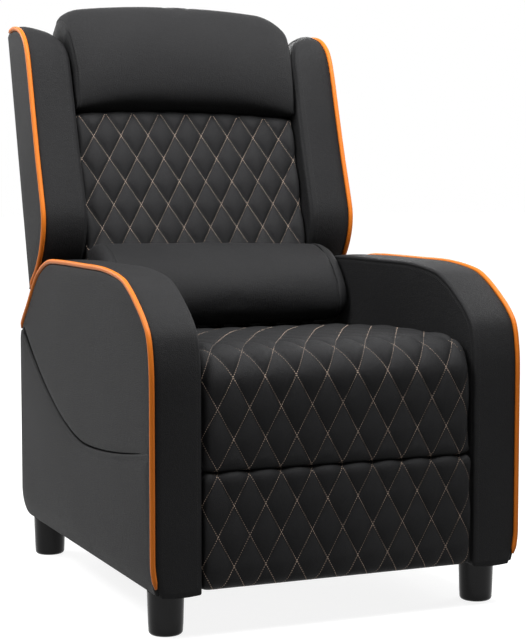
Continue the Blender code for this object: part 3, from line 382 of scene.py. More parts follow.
def outline_distance(points, outline):
    """How far each point is from a closed outline."""
    along = np.roll(outline, -1, 0) - outline
    span = np.maximum((along**2).sum(1), 1e-12)
    away = points[:, None] - outline[None]
    share = np.clip((away * along[None]).sum(2) / span, 0, 1)
    return np.linalg.norm(away - share[..., None] * along[None], axis=2).min(1)


def inside(points, outline):
    """Which points lie inside a closed outline."""
    a, b = points[:, :1], points[:, 1:]
    start, end = outline, np.roll(outline, -1, 0)
    crosses = (start[:, 1] > b) != (end[:, 1] > b)
    rise = np.where(np.abs(end[:, 1] - start[:, 1]) < 1e-12, 1e-12, end[:, 1] - start[:, 1])
    meets = (end[:, 0] - start[:, 0]) * (b - start[:, 1]) / rise + start[:, 0]
    return (crosses & (a < meets)).sum(1) % 2 == 1


def add_piece(name, points, faces, finish):
    """A smooth-shaded mesh piece with its faces turned outwards."""
    mesh = bpy.data.meshes.new(name)
    mesh.from_pydata([tuple(point) for point in points], [], faces)
    mesh.materials.append(finish)
    mesh.shade_smooth()
    signed = sum(Vector(mesh.vertices[p.vertices[0]].co).dot(p.normal) * p.area for p in mesh.polygons)
    if signed < 0:
        mesh.flip_normals()
    piece = bpy.data.objects.new(name, mesh)
    bpy.context.scene.collection.objects.link(piece)
    return piece


def ring_faces(first, second, count):
    """Quads between two closed rings of vertex numbers."""
    return [
        (first + k, first + (k + 1) % count, second + (k + 1) % count, second + k) for k in range(count)
    ]


def tube_faces(rings, count, first=0):
    """Faces of a closed tube whose rings are numbered one after another."""
    last = first + (rings - 1) * count
    faces = []
    for start in range(first, last, count):
        faces += ring_faces(start, start + count, count)
    return [*faces, tuple(range(first, first + count))[::-1], tuple(range(last, last + count))]


def filled_face(outline, spacing, loops=()):
    """Triangles over an outline, with even points inside; loops are inner outlines to follow."""
    low, high = outline.min(0), outline.max(0)
    across = np.arange(low[0] + spacing / 2, high[0], spacing)
    up = np.arange(low[1] + spacing / 2, high[1], spacing)
    grid = np.stack(np.meshgrid(across, up), -1).reshape(-1, 2)
    rings = [drawn_in(outline, inset)[::2] for inset in (0.35 * spacing, 0.9 * spacing)]
    near = outline_distance(grid, outline)
    clear = inside(grid, outline) & (near > 1.3 * spacing)
    for loop in loops:
        clear &= outline_distance(grid, loop) > 0.4 * spacing
    points = [*outline, *grid[clear]]
    for ring in rings:
        fits = inside(ring, outline)
        for loop in loops:
            fits &= outline_distance(ring, loop) > 0.4 * spacing
        points += list(ring[fits])
    edges = []
    for loop in loops:
        first = len(points)
        points += list(loop)
        edges += [(first + k, first + (k + 1) % len(loop)) for k in range(len(loop))]
    boundary = list(range(len(outline)))
    found, _, faces, kept, _, _ = delaunay_2d_cdt([Vector(p) for p in points], edges, [boundary], 1, 1e-7)
    names = [ids[0] if ids else None for ids in kept]
    return np.array([tuple(p) for p in found]), faces, names


def upholstered(name, outline, steps, place, low_lift, high_lift, spacing=0.012, loops=()):
    """A padded leather body: an outline carried across its width, with a filled face at each end.

    Steps are (share across, inset), from the low face to the high one. The lifts give how far each face
    stands out at points that are some distance inside its edge. Loops belong to the high face.
    """
    points, faces = [], []
    count = len(outline)
    last = (len(steps) - 1) * count
    for across, inset in steps:
        points += list(place(drawn_in(outline, inset), across, np.zeros(count)))
    for start in range(0, last, count):
        faces += ring_faces(start, start + count, count)
    ends = ((0, steps[0], low_lift, (), 1), (last, steps[-1], high_lift, loops, -1))
    for first, (across, inset), lift, own_loops, turn in ends:
        edge = drawn_in(outline, inset)
        flat, triangles, names = filled_face(edge, spacing, own_loops)
        placed = place(flat, across, lift(flat, outline_distance(flat, edge)))
        numbers = []
        for number, point in zip(names, placed):
            if number is not None and number < count:
                numbers.append(first + number)
            else:
                numbers.append(len(points))
                points.append(point)
        faces += [tuple(numbers[k] for k in triangle)[::turn] for triangle in triangles]
    return add_piece(name, points, faces, LEATHER)


def round_steps(turn, width, angles):
    """Steps round an edge, for upholstered()."""
    turns = [math.radians(angle) for angle in angles]
    return [(turn * (1 - math.cos(angle)) / width, turn * (1 - math.sin(angle))) for angle in turns]


def outer_steps(turn, width, height, power=1):
    """Steps over a face that swells between its rounded edge and its chamfer, and over the chamfer."""
    start, end = turn / width, 1 - EDGE_CHAMFER / width
    return [
        *[(start + k * (end - start), -height * math.sin(math.pi * k) ** power) for k in CROWN_PARTS],
        *[(1 - out * EDGE_CHAMFER / width, inset * EDGE_CHAMFER) for out, inset in CHAMFER_SHARES],
    ]


def outwards(across, lift):
    """A lift turned away from the body, at its low or its high face."""
    return lift if across > 0.5 else -lift


def level(flat, distance):
    """No lift: a face that lies flat."""
    return 0 * distance


def ripple(flat, size, height):
    """Gentle unevenness of stretched leather."""
    a, b = flat[:, 0] / size, flat[:, 1] / size
    return 0.5 * height * (np.sin(a + 1.3 * np.sin(b * 0.7)) + np.sin(b * 1.2 + 1.7 * np.sin(a * 0.6)))


def padding(flat, distance, crown, reach, wave, unevenness, fade):
    """Lift of a padded face: a crown that rises from its edge, with ripples."""
    rise = crown * (1 - np.exp(-distance / reach)) + ripple(flat, wave, unevenness)
    return rise * np.clip(distance / fade, 0, 1)


def add_piping(name, edge, radius, place, body, node):
    """Round piping that lies in the chamfer along an edge, its ends drawn to a point."""
    stand = EDGE_CHAMFER / 2 - radius / math.sqrt(2)
    path = place(drawn_in(edge, stand, closed=False), stand)
    ahead = np.gradient(path, axis=0)
    ahead /= np.linalg.norm(ahead, axis=1)[:, None]
    side = np.cross(ahead, [1.0, 0.0, 0.0])
    side /= np.linalg.norm(side, axis=1)[:, None]
    up = np.cross(side, ahead)
    lengths = run_length(path)
    from_end = np.minimum(lengths, lengths[-1] - lengths)
    thickness = np.clip(from_end / (2.5 * radius), 0.25, 1) ** 0.5
    points = []
    for middle, a, b, thick in zip(path, side, up, thickness):
        for turn in 2 * math.pi * np.arange(PIPING_SIDES) / PIPING_SIDES:
            points.append(middle + radius * thick * (math.cos(turn) * a + math.sin(turn) * b))
    cord = add_piece(name, points, tube_faces(len(path), PIPING_SIDES), ORANGE)
    dress(cord, body, "orange_piping", node)


def stitches(name, runs, finish, pitch, radius):
    """Sewn dashes along runs of (points, normals), as one piece."""
    turns = 2 * math.pi * np.arange(DASH_SIDES) / DASH_SIDES
    points, faces = [], []
    for path, normals in runs:
        lengths = run_length(path)
        starts = np.arange(pitch * 0.3, lengths[-1] - pitch, pitch)
        heads = at_length(path, starts)
        tails = at_length(path, starts + pitch * STITCH_SHARE)
        ups = np.stack([np.interp(starts, lengths, normals[:, axis]) for axis in range(3)], 1)
        for head, tail, up in zip(heads, tails, ups):
            along = tail - head
            aside = np.cross(along, up)
            aside /= np.linalg.norm(aside)
            over = np.cross(aside, along)
            over /= np.linalg.norm(over)
            sink = STITCH_SINK * max(over[2], 0)
            faces += tube_faces(len(DASH_SHAPE), DASH_SIDES, len(points))
            for at, thick in DASH_SHAPE:
                middle = head + along * at + over * radius * (0.3 * math.sin(math.pi * at) - sink)
                for turn in turns:
                    round_it = math.cos(turn) * aside + STITCH_FLATNESS * math.sin(turn) * over
                    points.append(middle + radius * thick * round_it)
    return add_piece(name, points, faces, finish)


def sew_seam(name, runs, body):
    """Black topstitching along runs of (points, normals)."""
    dress(stitches(name, runs, BLACK_THREAD, SEAM_PITCH, SEAM_RADIUS), body, "black_leather")


def dress(piece, body, slot, *nodes):
    """A piece rides on a body and stands for CAD nodes; its slot is not used."""
    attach(piece, body)
    if nodes:
        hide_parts(*nodes)
    return piece


def on_side(x, flat):
    """Points of a side view, at a distance from the chair's middle."""
    return np.stack([np.broadcast_to(x, len(flat)), flat[:, 0], flat[:, 1]], 1)


def on_back(x, t, s):
    """Points of the back's own plane, in the chair's frame."""
    x, t, s = np.broadcast_arrays(x, t, s)
    placed = np.array(PIVOT) + s[..., None] * BACK_UP + t[..., None] * BACK_REAR
    placed[..., 0] = x
    return placed


# Arms

def arm_point(share):
    return (
        ARM_LOW.y + share[0] * (ARM_HIGH.y - ARM_LOW.y),
        ARM_LOW.z + share[1] * (ARM_HIGH.z - ARM_LOW.z),
    )


def arm_crown():
    """The arm's edge from low on its front, over the top, to its rear."""
    return smooth_through([arm_point(share) for share in ARM_SHARES])


def arm_outline():
    """The whole side view of the arm, evenly spaced, clockwise seen from +X towards -X."""
    front = np.array([arm_point((0, 0)), arm_point(ARM_SHARES[0])])
    rear = smooth_through([arm_point(share) for share in ARM_REAR_SHARES], 4)
    loop = np.vstack([front[:1], arm_crown(), rear, front[:1]])
    return respaced(loop, 0.008)[:-1]


def tuck(z):
    """How far the arm's outer side draws in towards its bottom edge."""
    return ARM_TUCK * np.clip((ARM_TUCK_Z - z) / (ARM_TUCK_Z - ARM_LOW.z), 0, 1) ** 1.8


def pocket_mouth(count=60):
    """The slanted mouth line from front to rear: a shallow dip, then a rising curve."""
    share = np.linspace(0, 1, count + 1)
    front, rear = ARM_LOW.y + POCKET_FRONT_INSET, ARM_HIGH.y - POCKET_REAR_INSET
    ahead = np.clip(POCKET_DIP_SHARE - share, 0, 1) / POCKET_DIP_SHARE
    behind = np.clip(share - POCKET_DIP_SHARE, 0, 1) / (1 - POCKET_DIP_SHARE)
    z = (
        POCKET_DIP_Z + (POCKET_FRONT_Z - POCKET_DIP_Z) * ahead**1.7
        + (POCKET_REAR_Z - POCKET_DIP_Z) * behind**1.7
    )
    return np.stack([front + share * (rear - front), z], 1)


def pocket_hollow(mouth):
    """The hollow behind the pocket's mouth, as three close loops, and where it starts at its front."""
    along = np.linspace(0, 1, len(mouth))
    slit = POCKET_SLIT_FRONT + (POCKET_SLIT_REAR - POCKET_SLIT_FRONT) * along**2
    lip = np.stack([mouth[:, 0], mouth[:, 1] + slit], 1)
    lip = lip[(lip[:, 0] > mouth[0, 0] + POCKET_OPEN_FROM) & (lip[:, 0] < mouth[-1, 0] - 0.004)]
    floor_z = ARM_LOW.z + POCKET_FLOOR_RISE
    corners = [(lip[0, 0], floor_z), lip, (lip[-1, 0], floor_z), (lip[0, 0], floor_z)]
    hollow = respaced(np.vstack(corners), 0.006)[:-1]
    return [drawn_in(hollow, inset) for inset in (-0.0018, -0.0006, 0.0010)], lip[0, 0]


def make_arm(side, sign):
    """Upholstered arm with its seams, piping and side pocket."""
    outline = arm_outline()
    inner, outer = ARM_INNER_X, ARM_HIGH.x
    width = outer - inner
    turn = ARM_INNER_ROUND
    steps = [
        (0, turn + 0.006), (0, turn + 0.0035), (ARM_SEAM_DEPTH / width, turn + 0.0015),
        (0.0002 / width, turn - 0.0005), *round_steps(turn, width, (15, 35, 55, 75, 90)),
        *outer_steps(turn, width, ARM_TOP_CROWN),
    ]
    mouth = pocket_mouth()
    loops, hollow_front = pocket_hollow(mouth)

    def place(flat, across, lift):
        x = inner + across * (outer - tuck(flat[:, 1]) - inner) + outwards(across, lift)
        return on_side(sign * x, flat)

    def outer_lift(flat, distance):
        rise = padding(flat, distance, ARM_OUTER_CROWN, 0.03, 0.05, 0.0005, 0.02)
        within, deep = (inside(flat, loop) | (outline_distance(flat, loop) < 1e-5) for loop in loops[1:])
        opened = np.clip((flat[:, 0] - hollow_front) / POCKET_FADE, 0, 1)
        rise = np.where(within, rise - 0.0010 * opened, rise)
        return np.where(deep, rise - (POCKET_DEPTH + rise) * opened, rise)

    def inner_lift(flat, distance):
        high = np.clip((flat[:, 1] - 0.40) / 0.05, 0, 1)
        rise = ARM_INNER_CROWN * (1 - np.exp(-distance / 0.02))
        return high * (rise + ripple(flat, 0.04, 0.0004) * np.clip(distance / 0.02, 0, 1))

    arm = upholstered(f"upholstered_arm_{side}", outline, steps, place, inner_lift, outer_lift, loops=loops)
    dress(arm, "base", "black_leather", f"arm_cover_{side}")

    crown = arm_crown()
    crown = crown[crown[:, 0] < arm_point((PIPING_REAR_SHARE, 0))[0]]
    edge = respaced(np.vstack([(ARM_LOW.y, PIPING_FOOT_Z), crown]), 0.005)
    add_piping(
        f"arm_piping_cord_{side}", edge, ARM_PIPING_RADIUS,
        lambda seat, stand: on_side(sign * (outer - stand - tuck(seat[:, 1])), seat),
        "base", f"arm_piping_{side}",
    )
    seam = respaced(np.vstack([(ARM_LOW.y, ARM_LOW.z + 0.01), crown]), 0.006)
    normals = np.concatenate([np.zeros((len(seam), 1)), outward_normals(seam, False)], 1)
    low = on_side(sign * (inner - 0.0002), drawn_in(seam, turn + 0.0065, False))
    high = on_side(sign * (inner + turn + 0.003), drawn_in(seam, -0.0003, False))
    lines = [(low, np.tile([-sign, 0.0, 0.0], (len(low), 1))), (high, normals)]
    sew_seam(f"arm_topstitch_{side}", lines, "base")
    make_pocket(side, sign, outline, mouth)


def make_pocket(side, sign, outline, mouth):
    """Pocket panel over the lower part of the arm, with its hem."""
    lapped = drawn_in(outline, POCKET_LAP)
    front, rear = lapped[:, 0].min(), lapped[:, 0].max()
    line = np.vstack([(front - 0.01, mouth[0, 1] + 0.004), mouth, (rear + 0.01, mouth[-1, 1] + 0.014)])
    below = lapped[:, 1] < np.interp(lapped[:, 0], line[:, 0], line[:, 1])
    start = int(np.argmax(below & ~np.roll(below, 1)))
    kept = np.roll(lapped, -start, 0)[np.roll(below, -start)]
    top = line[(line[:, 0] > front + 0.003) & (line[:, 0] < rear - 0.003)]
    ring = respaced(np.vstack([kept, top, kept[:1]]), 0.006)[:-1]
    back, face = ARM_HIGH.x - 0.0045, ARM_HIGH.x + 0.0016

    def place(flat, across, lift):
        x = back + across * (face - back) + outwards(across, lift) - tuck(flat[:, 1])
        return on_side(sign * x, flat)

    def lift(flat, distance):
        hem_line = 0.0005 * np.exp(-((distance - 0.004) / 0.0015) ** 2)
        return padding(flat, distance, 0.0012, 0.03, 0.045, 0.0006, 0.015) - hem_line

    steps = [(0, 0.002), (0, 0.0008), (0.15, 0), (0.45, 0), (0.75, 0.0007), (0.93, 0.002), (1, 0.0038)]
    panel = upholstered(f"pocket_panel_{side}", ring, steps, place, level, lift)
    dress(panel, "base", "black_leather", f"side_pocket_{side}")
    hem = on_side(sign * (face + 0.0001), (mouth - (0, 0.0085))[1:-1])
    sew_seam(f"pocket_hem_stitch_{side}", [(hem, np.tile([float(sign), 0.0, 0.0], (len(hem), 1)))], "base")


# Wings
WING_INNER_LOW_X = WING_LOW.x
WING_INNER_TOP_X = WING_LOW.x + 0.0035
WING_OUTER_X = WING_HIGH.x
WING_FLARE_S = 0.340
WING_BOTTOM_S = 0.190
WING_HEIGHT = 0.521
WING_DEPTH = 0.140
WING_REAR_T = 0.028
WING_ROUND = 0.012
WING_CROWN = 0.0040
WING_CORNER = 0.095
WING_CORNER_S = 0.617
WING_CORNER_DRAW = 0.050
# Shares of the wing's height above its tip, and of its depth forward of its rear face
WING_SHARES = [
    (0, 0.06), (0.032, 0.22), (0.058, 0.47), (0.100, 0.70), (0.150, 0.87), (0.200, 0.968), (0.250, 1),
    (0.340, 0.984), (0.460, 0.957), (0.620, 0.938), (0.780, 0.926), (0.873, 0.882), (0.930, 0.755),
    (0.966, 0.579), (0.991, 0.339), (1, 0.060),
]


def wing_front():
    """The wing's front edge from its lower tip, as depth and height in the back's plane."""
    return smooth_through([
        (WING_REAR_T - forward * WING_DEPTH, WING_BOTTOM_S + up * WING_HEIGHT) for up, forward in WING_SHARES
    ])


def wing_inner_x(s):
    """The wing's inner side: a slight flare, then a rounded corner at its top."""
    rise = WING_BOTTOM_S + WING_HEIGHT - WING_FLARE_S
    flare = np.clip((s - WING_FLARE_S) / rise, 0, None)
    past = np.clip(s - WING_CORNER_S, 0, WING_CORNER)
    corner = np.minimum(WING_CORNER - np.sqrt(WING_CORNER**2 - past**2), WING_CORNER_DRAW)
    return WING_INNER_LOW_X + (WING_INNER_TOP_X - WING_INNER_LOW_X) * flare + corner


def make_wing(side, sign):
    """Padded wing, its piping and the seam along its inner edge."""
    front = wing_front()
    loop = np.vstack([front, (WING_REAR_T, front[-1, 1] - 0.004), (WING_REAR_T, front[0, 1]), front[:1]])
    outline = respaced(loop, 0.007)[:-1]
    width = WING_OUTER_X - WING_INNER_LOW_X
    turn = WING_ROUND
    steps = [
        (0, turn + 0.006), (0, turn + 0.002), *round_steps(turn, width, (15, 35)),
        ((turn * 0.30 + 0.0010) / width, turn * 0.30 + 0.0010), *round_steps(turn, width, (55, 75, 90)),
        *outer_steps(turn, width, WING_CROWN, 0.8),
    ]

    def place(flat, across, lift):
        low = wing_inner_x(flat[:, 1])
        x = low + across * (WING_OUTER_X - low) + outwards(across, lift)
        return on_back(sign * x, np.minimum(flat[:, 0], WING_REAR_T), flat[:, 1])

    def outer_lift(flat, distance):
        return padding(flat, distance, 0.0015, 0.02, 0.035, 0.0005, 0.015)

    def inner_lift(flat, distance):
        return 0.4 * outer_lift(flat, distance)

    wing = upholstered(f"padded_wing_{side}", outline, steps, place, inner_lift, outer_lift)
    dress(wing, "back", "black_leather", f"wing_{side}")

    add_piping(
        f"wing_piping_cord_{side}", respaced(front, 0.005)[2:-2], WING_PIPING_RADIUS,
        lambda seat, stand: on_back(sign * (WING_OUTER_X - stand), seat[:, 0], seat[:, 1]),
        "back", f"wing_piping_{side}",
    )
    run = respaced(front, 0.006)[3:-3]
    outward = outward_normals(run, False)
    raised = run + outward * 0.0009
    at = on_back(sign * (wing_inner_x(run[:, 1]) + turn + 0.003), raised[:, 0], raised[:, 1])
    normals = outward[:, :1] * BACK_REAR + outward[:, 1:] * BACK_UP
    sew_seam(f"wing_topstitch_{side}", [(at, normals)], "back")


# Quilted pads

def upright(x, y, z):
    """Points of a side view in the chair's own frame."""
    return np.stack([x, y, z], 1)


def rolled_over(run, half, roll):
    """Place across the chair, and turn, at a run across a pad whose sides roll over."""
    over = max(abs(run) - (half - roll), 0) / roll
    return math.copysign(min(abs(run), half - roll) + roll * math.sin(over), run), over


def quilt_faces(numbers, rows, count):
    """Faces of the quilting, split along the seams so that each thread lies on edges."""
    faces = []
    for k in range(len(numbers) - 1):
        for row in range(count):
            a, b = k * count + row, k * count + (row + 1) % count
            c, d = a + count, b + count
            quilted = row < len(rows) - 1 and 0 < k < len(numbers) - 2
            if quilted and (numbers[k] - rows[row]) % (2 * QUILT_STEPS) == 0:
                faces += [(a, b, d), (a, d, c)]
            elif quilted and (numbers[k + 1] + rows[row]) % (2 * QUILT_STEPS) == 0:
                faces += [(a, b, c), (b, d, c)]
            else:
                faces.append((a, b, d, c))
    end = (len(numbers) - 1) * count
    return [*faces, tuple(range(count))[::-1], tuple(range(end, end + count))]


def surface_of(piece, rings, count):
    """Places and normals of a piece's points, ring by ring."""
    points = list(piece.data.vertices)[:rings * count]
    return [
        np.array(values).reshape(rings, count, 3)
        for values in ([v.co for v in points], [v.normal for v in points])
    ]


def seam_places(rows, last):
    """Columns and rows along each diagonal seam, counted from the quilting's first corner."""
    lowest, highest = rows[0] + 1, rows[-1] - 1
    far = last + max(highest, -lowest)
    found = []
    for slope in (1, -1):
        for start in range(-far, far + 1):
            if start % (2 * QUILT_STEPS):
                continue
            places = [
                (start + slope * row + last + 1, row - rows[0]) for row in range(lowest, highest + 1)
                if abs(start + slope * row) <= last
            ]
            if len(places) > 2:
                found.append(np.array(places).T)
    return found


def quilted_pad(kind, body, path, anchor, hidden, half_width, diamond, relief, roll, place):
    """A pad sewn in diamonds along its visible path, plain on its hidden side.

    The path is a side view, clockwise. The anchor is how far along it a row of seam crossings lies, with
    one crossing in the middle of the chair. Relief gives shares of the puff's height at lengths along the
    path. The pad rolls over at both sides.
    """
    across_step = diamond[0] / 2 / QUILT_STEPS
    along_step = diamond[1] / 2 / QUILT_STEPS
    total = run_length(path)[-1]
    rows = np.arange(math.ceil(-anchor / along_step), math.floor((total - anchor) / along_step) + 1)
    lengths = anchor + rows * along_step
    loop = np.vstack([at_length(path, lengths), hidden])
    normals = outward_normals(loop)
    reach = half_width - roll + roll * math.pi / 2
    last = math.floor(reach / across_step)
    columns = np.arange(-last, last + 1)
    runs = [-reach, *(columns * across_step), reach]
    numbers = [-last - 1, *columns, last + 1]
    count = len(loop)
    plain = np.zeros(len(hidden))
    fade = np.interp(lengths, *zip(*relief))
    firm = np.concatenate([0.3 + 0.7 * np.clip(fade, 0, 1), plain + 1])
    points, sewn = [], []
    for number, run in zip(numbers, runs):
        x, over = rolled_over(run, half_width, roll)
        seams = ((number + rows) / (2 * QUILT_STEPS), (number - rows) / (2 * QUILT_STEPS))
        first, second = (np.abs(seam - np.round(seam)) for seam in seams)
        puff = np.clip(np.sin(math.pi * first) * np.sin(math.pi * second), 0, 1) ** 0.55
        rise = QUILT_HEIGHT * puff * fade * max(math.cos(over), 0) ** 0.5
        lift = np.concatenate([rise, plain]) - roll * (1 - math.cos(over)) * firm
        flat = loop + normals * lift[:, None]
        points += list(place(np.full(count, x), flat[:, 0], flat[:, 1]))
        held = (first * second < 1e-6) | (fade < 0.1) | (abs(number) >= last)
        sewn += [*held, *(plain == 0)]
    pad = add_piece(f"quilted_{kind}", points, quilt_faces(numbers, rows, count), QUILTED)
    caps = np.tile(np.concatenate([QUILT_SWELL * fade, plain]), len(runs))
    inflate(pad, np.flatnonzero(sewn).tolist(), caps)
    dress(pad, body, "quilted_leather", f"{kind}_cushion")

    spots, tilt = surface_of(pad, len(runs), count)
    sewn_runs = [(spots[i, j], tilt[i, j]) for i, j in seam_places(rows, last)]
    thread_piece = stitches(f"{kind}_quilting_thread", sewn_runs, COPPER_THREAD, STITCH_PITCH, STITCH_RADIUS)
    dress(thread_piece, body, "quilted_leather")


def inflate(piece, pinned, cap):
    """Swell a padded piece like a cushion, held where it is sewn down, by a short cloth run."""
    scene = bpy.context.scene
    mesh = piece.data
    before = np.array([v.co for v in mesh.vertices])
    group = piece.vertex_groups.new(name=CLOTH["vertex_group_mass"])
    group.add(pinned, 1.0, "REPLACE")
    cloth = piece.modifiers.new("filling", "CLOTH")
    for key, value in CLOTH.items():
        setattr(cloth.settings, key, value)
    cloth.settings.effector_weights.gravity = 0
    cloth.collision_settings.use_collision = False
    cloth.point_cache.frame_start = 1
    cloth.point_cache.frame_end = CLOTH_FRAMES
    for number in range(1, CLOTH_FRAMES + 1):
        scene.frame_set(number)
    evaluated = piece.evaluated_get(bpy.context.evaluated_depsgraph_get())
    after = np.array([v.co for v in evaluated.data.vertices])
    piece.modifiers.remove(cloth)
    piece.vertex_groups.remove(group)
    scene.frame_set(1)
    moved = after - before
    size = np.linalg.norm(moved, axis=1)
    moved *= np.minimum(1, cap / np.maximum(size, 1e-9))[:, None]
    mesh.vertices.foreach_set("co", (before + moved).ravel())
    mesh.update()


def make_seat():
    """Seat cushion: quilted from the crease up its front, over the roll and back."""
    front = SEAT_LOW.y + QUILT_ROOM
    low, high = SEAT_LOW.z - CREASE_CLOSE, SEAT_HIGH.z - QUILT_ROOM
    rear = SEAT_HIGH.y - 0.001
    radius = SEAT_FRONT_ROLL
    top = smooth_through([
        (front + radius, high), (front + 4 * radius, high + 0.001), (0, high - 0.009), (rear, high - 0.018),
    ])
    path = np.vstack([
        (front + 0.040, low), arc((front + 0.012, low + 0.012), 0.012, 270, 180),
        arc((front + radius, high - radius), radius, 180, 90, 12)[:-1], top,
    ])
    anchor = run_length(path)[5]
    under = high - 0.099
    hidden = np.array([
        (rear, high - 0.035), (rear, under), (rear - 0.15, under), (rear - 0.3, under),
        (front + 0.062, under), (front + 0.058, under - 0.01), (front + 0.058, low + 0.02),
        (front + 0.056, low + 0.001),
    ])
    relief = [(0.030, 0), (0.055, 1.2), (0.22, 1.2), (0.34, 0.40)]
    quilted_pad(
        "seat", "base", path, anchor, hidden, SEAT_HIGH.x, SEAT_DIAMOND, relief, SEAT_SIDE_ROLL, upright,
    )


def make_footrest():
    """Footrest pad: the seat's quilting carried on below the crease."""
    front = FOOT_LOW.y + QUILT_ROOM
    rear = FOOT_HIGH.y - 0.0005
    low, high = FOOT_LOW.z, FOOT_HIGH.z + CREASE_CLOSE
    path = np.vstack([
        (rear - 0.004, low), arc((front + 0.018, low + 0.018), 0.018, 270, 180),
        arc((front + 0.012, high - 0.012), 0.012, 180, 90), (rear - 0.004, high),
    ])
    anchor = run_length(path)[-6]
    hidden = np.array([(rear, high - 0.004), (rear, (low + high) / 2), (rear, low + 0.004)])
    relief = [(0.030, 0), (0.065, 1.2), (anchor, 1.2), (anchor + 0.018, 0.2)]
    quilted_pad(
        "footrest", "footrest", path, anchor, hidden, FOOT_HIGH.x, SEAT_DIAMOND, relief, FOOT_SIDE_ROLL,
        upright,
    )


def joint_lift(x):
    """How far the joint under the head pillow rises above its lowest place."""
    share = x / HEAD_HIGH.x
    return 0.009 * np.clip(1 - share**2, 0, 1) + 0.003 * np.clip(1 - share, 0, 2)


def on_draped_back(x, t, s):
    """Points of the back cushion, whose top follows the head pillow's arched edge."""
    high = np.clip((s - 0.40) / (HEAD_BOTTOM_S + JOINT_RISE - 0.40), 0, 1)
    return on_back(x, t, s - (JOINT_RISE - joint_lift(x)) * high)


def make_back():
    """Quilted back cushion between the wings."""
    face, upper_face = BACK_FACE_T, BACK_FACE_T + 0.005
    bottom, top = BACK_BOTTOM_S, HEAD_BOTTOM_S + JOINT_RISE - 0.0008
    front = smooth_through([
        (face, bottom + 0.018), (face, bottom + 0.1), (upper_face, bottom + 0.2), (upper_face, top - 0.008),
    ])
    path = np.vstack([
        (face + 0.030, bottom), (face + 0.018, bottom), front,
        arc((upper_face + 0.008, top - 0.008), 0.008, 180, 90, 4),
    ])
    lengths = run_length(path)
    anchor = np.interp(BACK_CROSSING_S, path[:, 1], lengths)
    hidden = np.array([(BACK_REAR_T, top), (BACK_REAR_T, (top + bottom) / 2), (BACK_REAR_T, bottom)])
    relief = [(0, 0), (0.03, 1.5), (lengths[-1] - 0.03, 1.5), (lengths[-1], 0)]
    quilted_pad(
        "back", "back", path, anchor, hidden, BACK_HALF, BACK_DIAMOND, relief, BACK_SIDE_ROLL,
        on_draped_back,
    )


# Head and lumbar pillows
HEAD_BOTTOM_S = 0.516
JOINT_RISE = 0.012
HEAD_TOP_S = 0.750
HEAD_FRONT_T = -0.130
HEAD_CROWN = 0.20
HEAD_SEAM_IN = 0.013
HEAD_OFFSET = -0.004
HEAD_DROOP = 0.008
HEAD_LIP_T = -0.082
HEAD_BULGE_T = -0.060
HEAD_SEAT_T = -0.0328
HEAD_ROLL = 0.009
HEAD_GROOVE = 0.0020
HEAD_SWELL = 0.0035
# Shares of the head pad's depth from its rear face and of its height, over its top to the front lip
HEAD_SHARES = [
    (0, 0.580), (0, 0.740), (0.060, 0.835), (0.180, 0.930), (0.350, 0.985), (0.523, 1), (0.717, 0.965),
    (0.867, 0.870), (0.956, 0.720), (1, 0.500), (0.987, 0.280), (0.912, 0.090), (0.788, 0.010), (0.558, 0),
]
LUMBAR_REAR_T = -0.0876
LUMBAR_DEPTH = 0.134
LUMBAR_BOTTOM_S = 0.082
LUMBAR_HEIGHT = 0.163
LUMBAR_ROLL = 0.019
LUMBAR_GROOVE = 0.0022
LUMBAR_SWELL = 0.004
LUMBAR_SEAM_X = 0.216
LUMBAR_OFFSET = 0.001
LUMBAR_TILT = 0.007
# Shares of the lumbar pillow's depth from its rear face and of its height, up its rear and over its front
LUMBAR_SHARES = [
    (0, 0.150), (0, 0.866), (0.078, 0.970), (0.194, 1), (0.390, 0.958), (0.576, 0.869), (0.772, 0.734),
    (0.917, 0.536), (0.996, 0.342), (0.979, 0.169), (0.884, 0.048), (0.718, 0), (0.527, 0.030),
    (0.277, 0.075), (0.083, 0.110),
]


def seamed_columns(reach, seam, spacing=0.008):
    """Places across a pillow, closer together at its two end seams."""
    even = np.linspace(-reach, reach, round(2 * reach / spacing) + 1)
    close = np.array([-0.006, -0.003, -0.0012, 0, 0.0012, 0.003, 0.006])
    clear = np.abs(np.abs(even) - seam) > 0.009
    return np.sort(np.concatenate([even[clear], seam + close, -seam - close]))


def groove(past_seam, size):
    """How far a pillow is drawn in beside a seam."""
    return size * math.exp(-(past_seam / size) ** 2)


def pillow(name, half, roll, seam, drawn, cap, node):
    """A closed pillow lofted across the chair, swollen by a cloth run, with a sewn panel at each end.

    Drawn gives the pillow's ring at a place across the chair, drawn in by a distance.
    """
    points, faces = [], []
    columns = seamed_columns(half - roll + roll * math.pi / 2, seam)
    for run in columns:
        x, over = rolled_over(run, half, roll)
        points += list(drawn(x, roll * (1 - math.cos(over)), abs(run) - seam))
    count = len(points) // len(columns)
    last = (len(columns) - 1) * count
    for start in range(0, last, count):
        faces += ring_faces(start, start + count, count)
    for first, turn in ((0, -1), (last, 1)):
        ring = np.array(points[first:first + count])
        middle = ring.mean(0)
        previous = first
        for share in (0.75, 0.5, 0.25):
            start = len(points)
            points += list(middle + (ring - middle) * share)
            faces += [quad[::turn] for quad in ring_faces(previous, start, count)]
            previous = start
        faces.append(tuple(range(previous, previous + count))[::turn])
    piece = add_piece(name, points, faces, LEATHER)
    seams = [k for k, run in enumerate(columns) if abs(abs(run) - seam) < 1e-6]
    inflate(piece, [k * count + row for k in seams for row in range(count)], cap)

    spots, tilt = surface_of(piece, len(columns), count)
    around = [*range(count), 0]
    runs = [(spots[k + step][around], tilt[k + step][around]) for k in seams for step in (-2, 2)]
    sew_seam(f"{name}_stitch", runs, "back")
    dress(piece, "back", "black_leather", node)


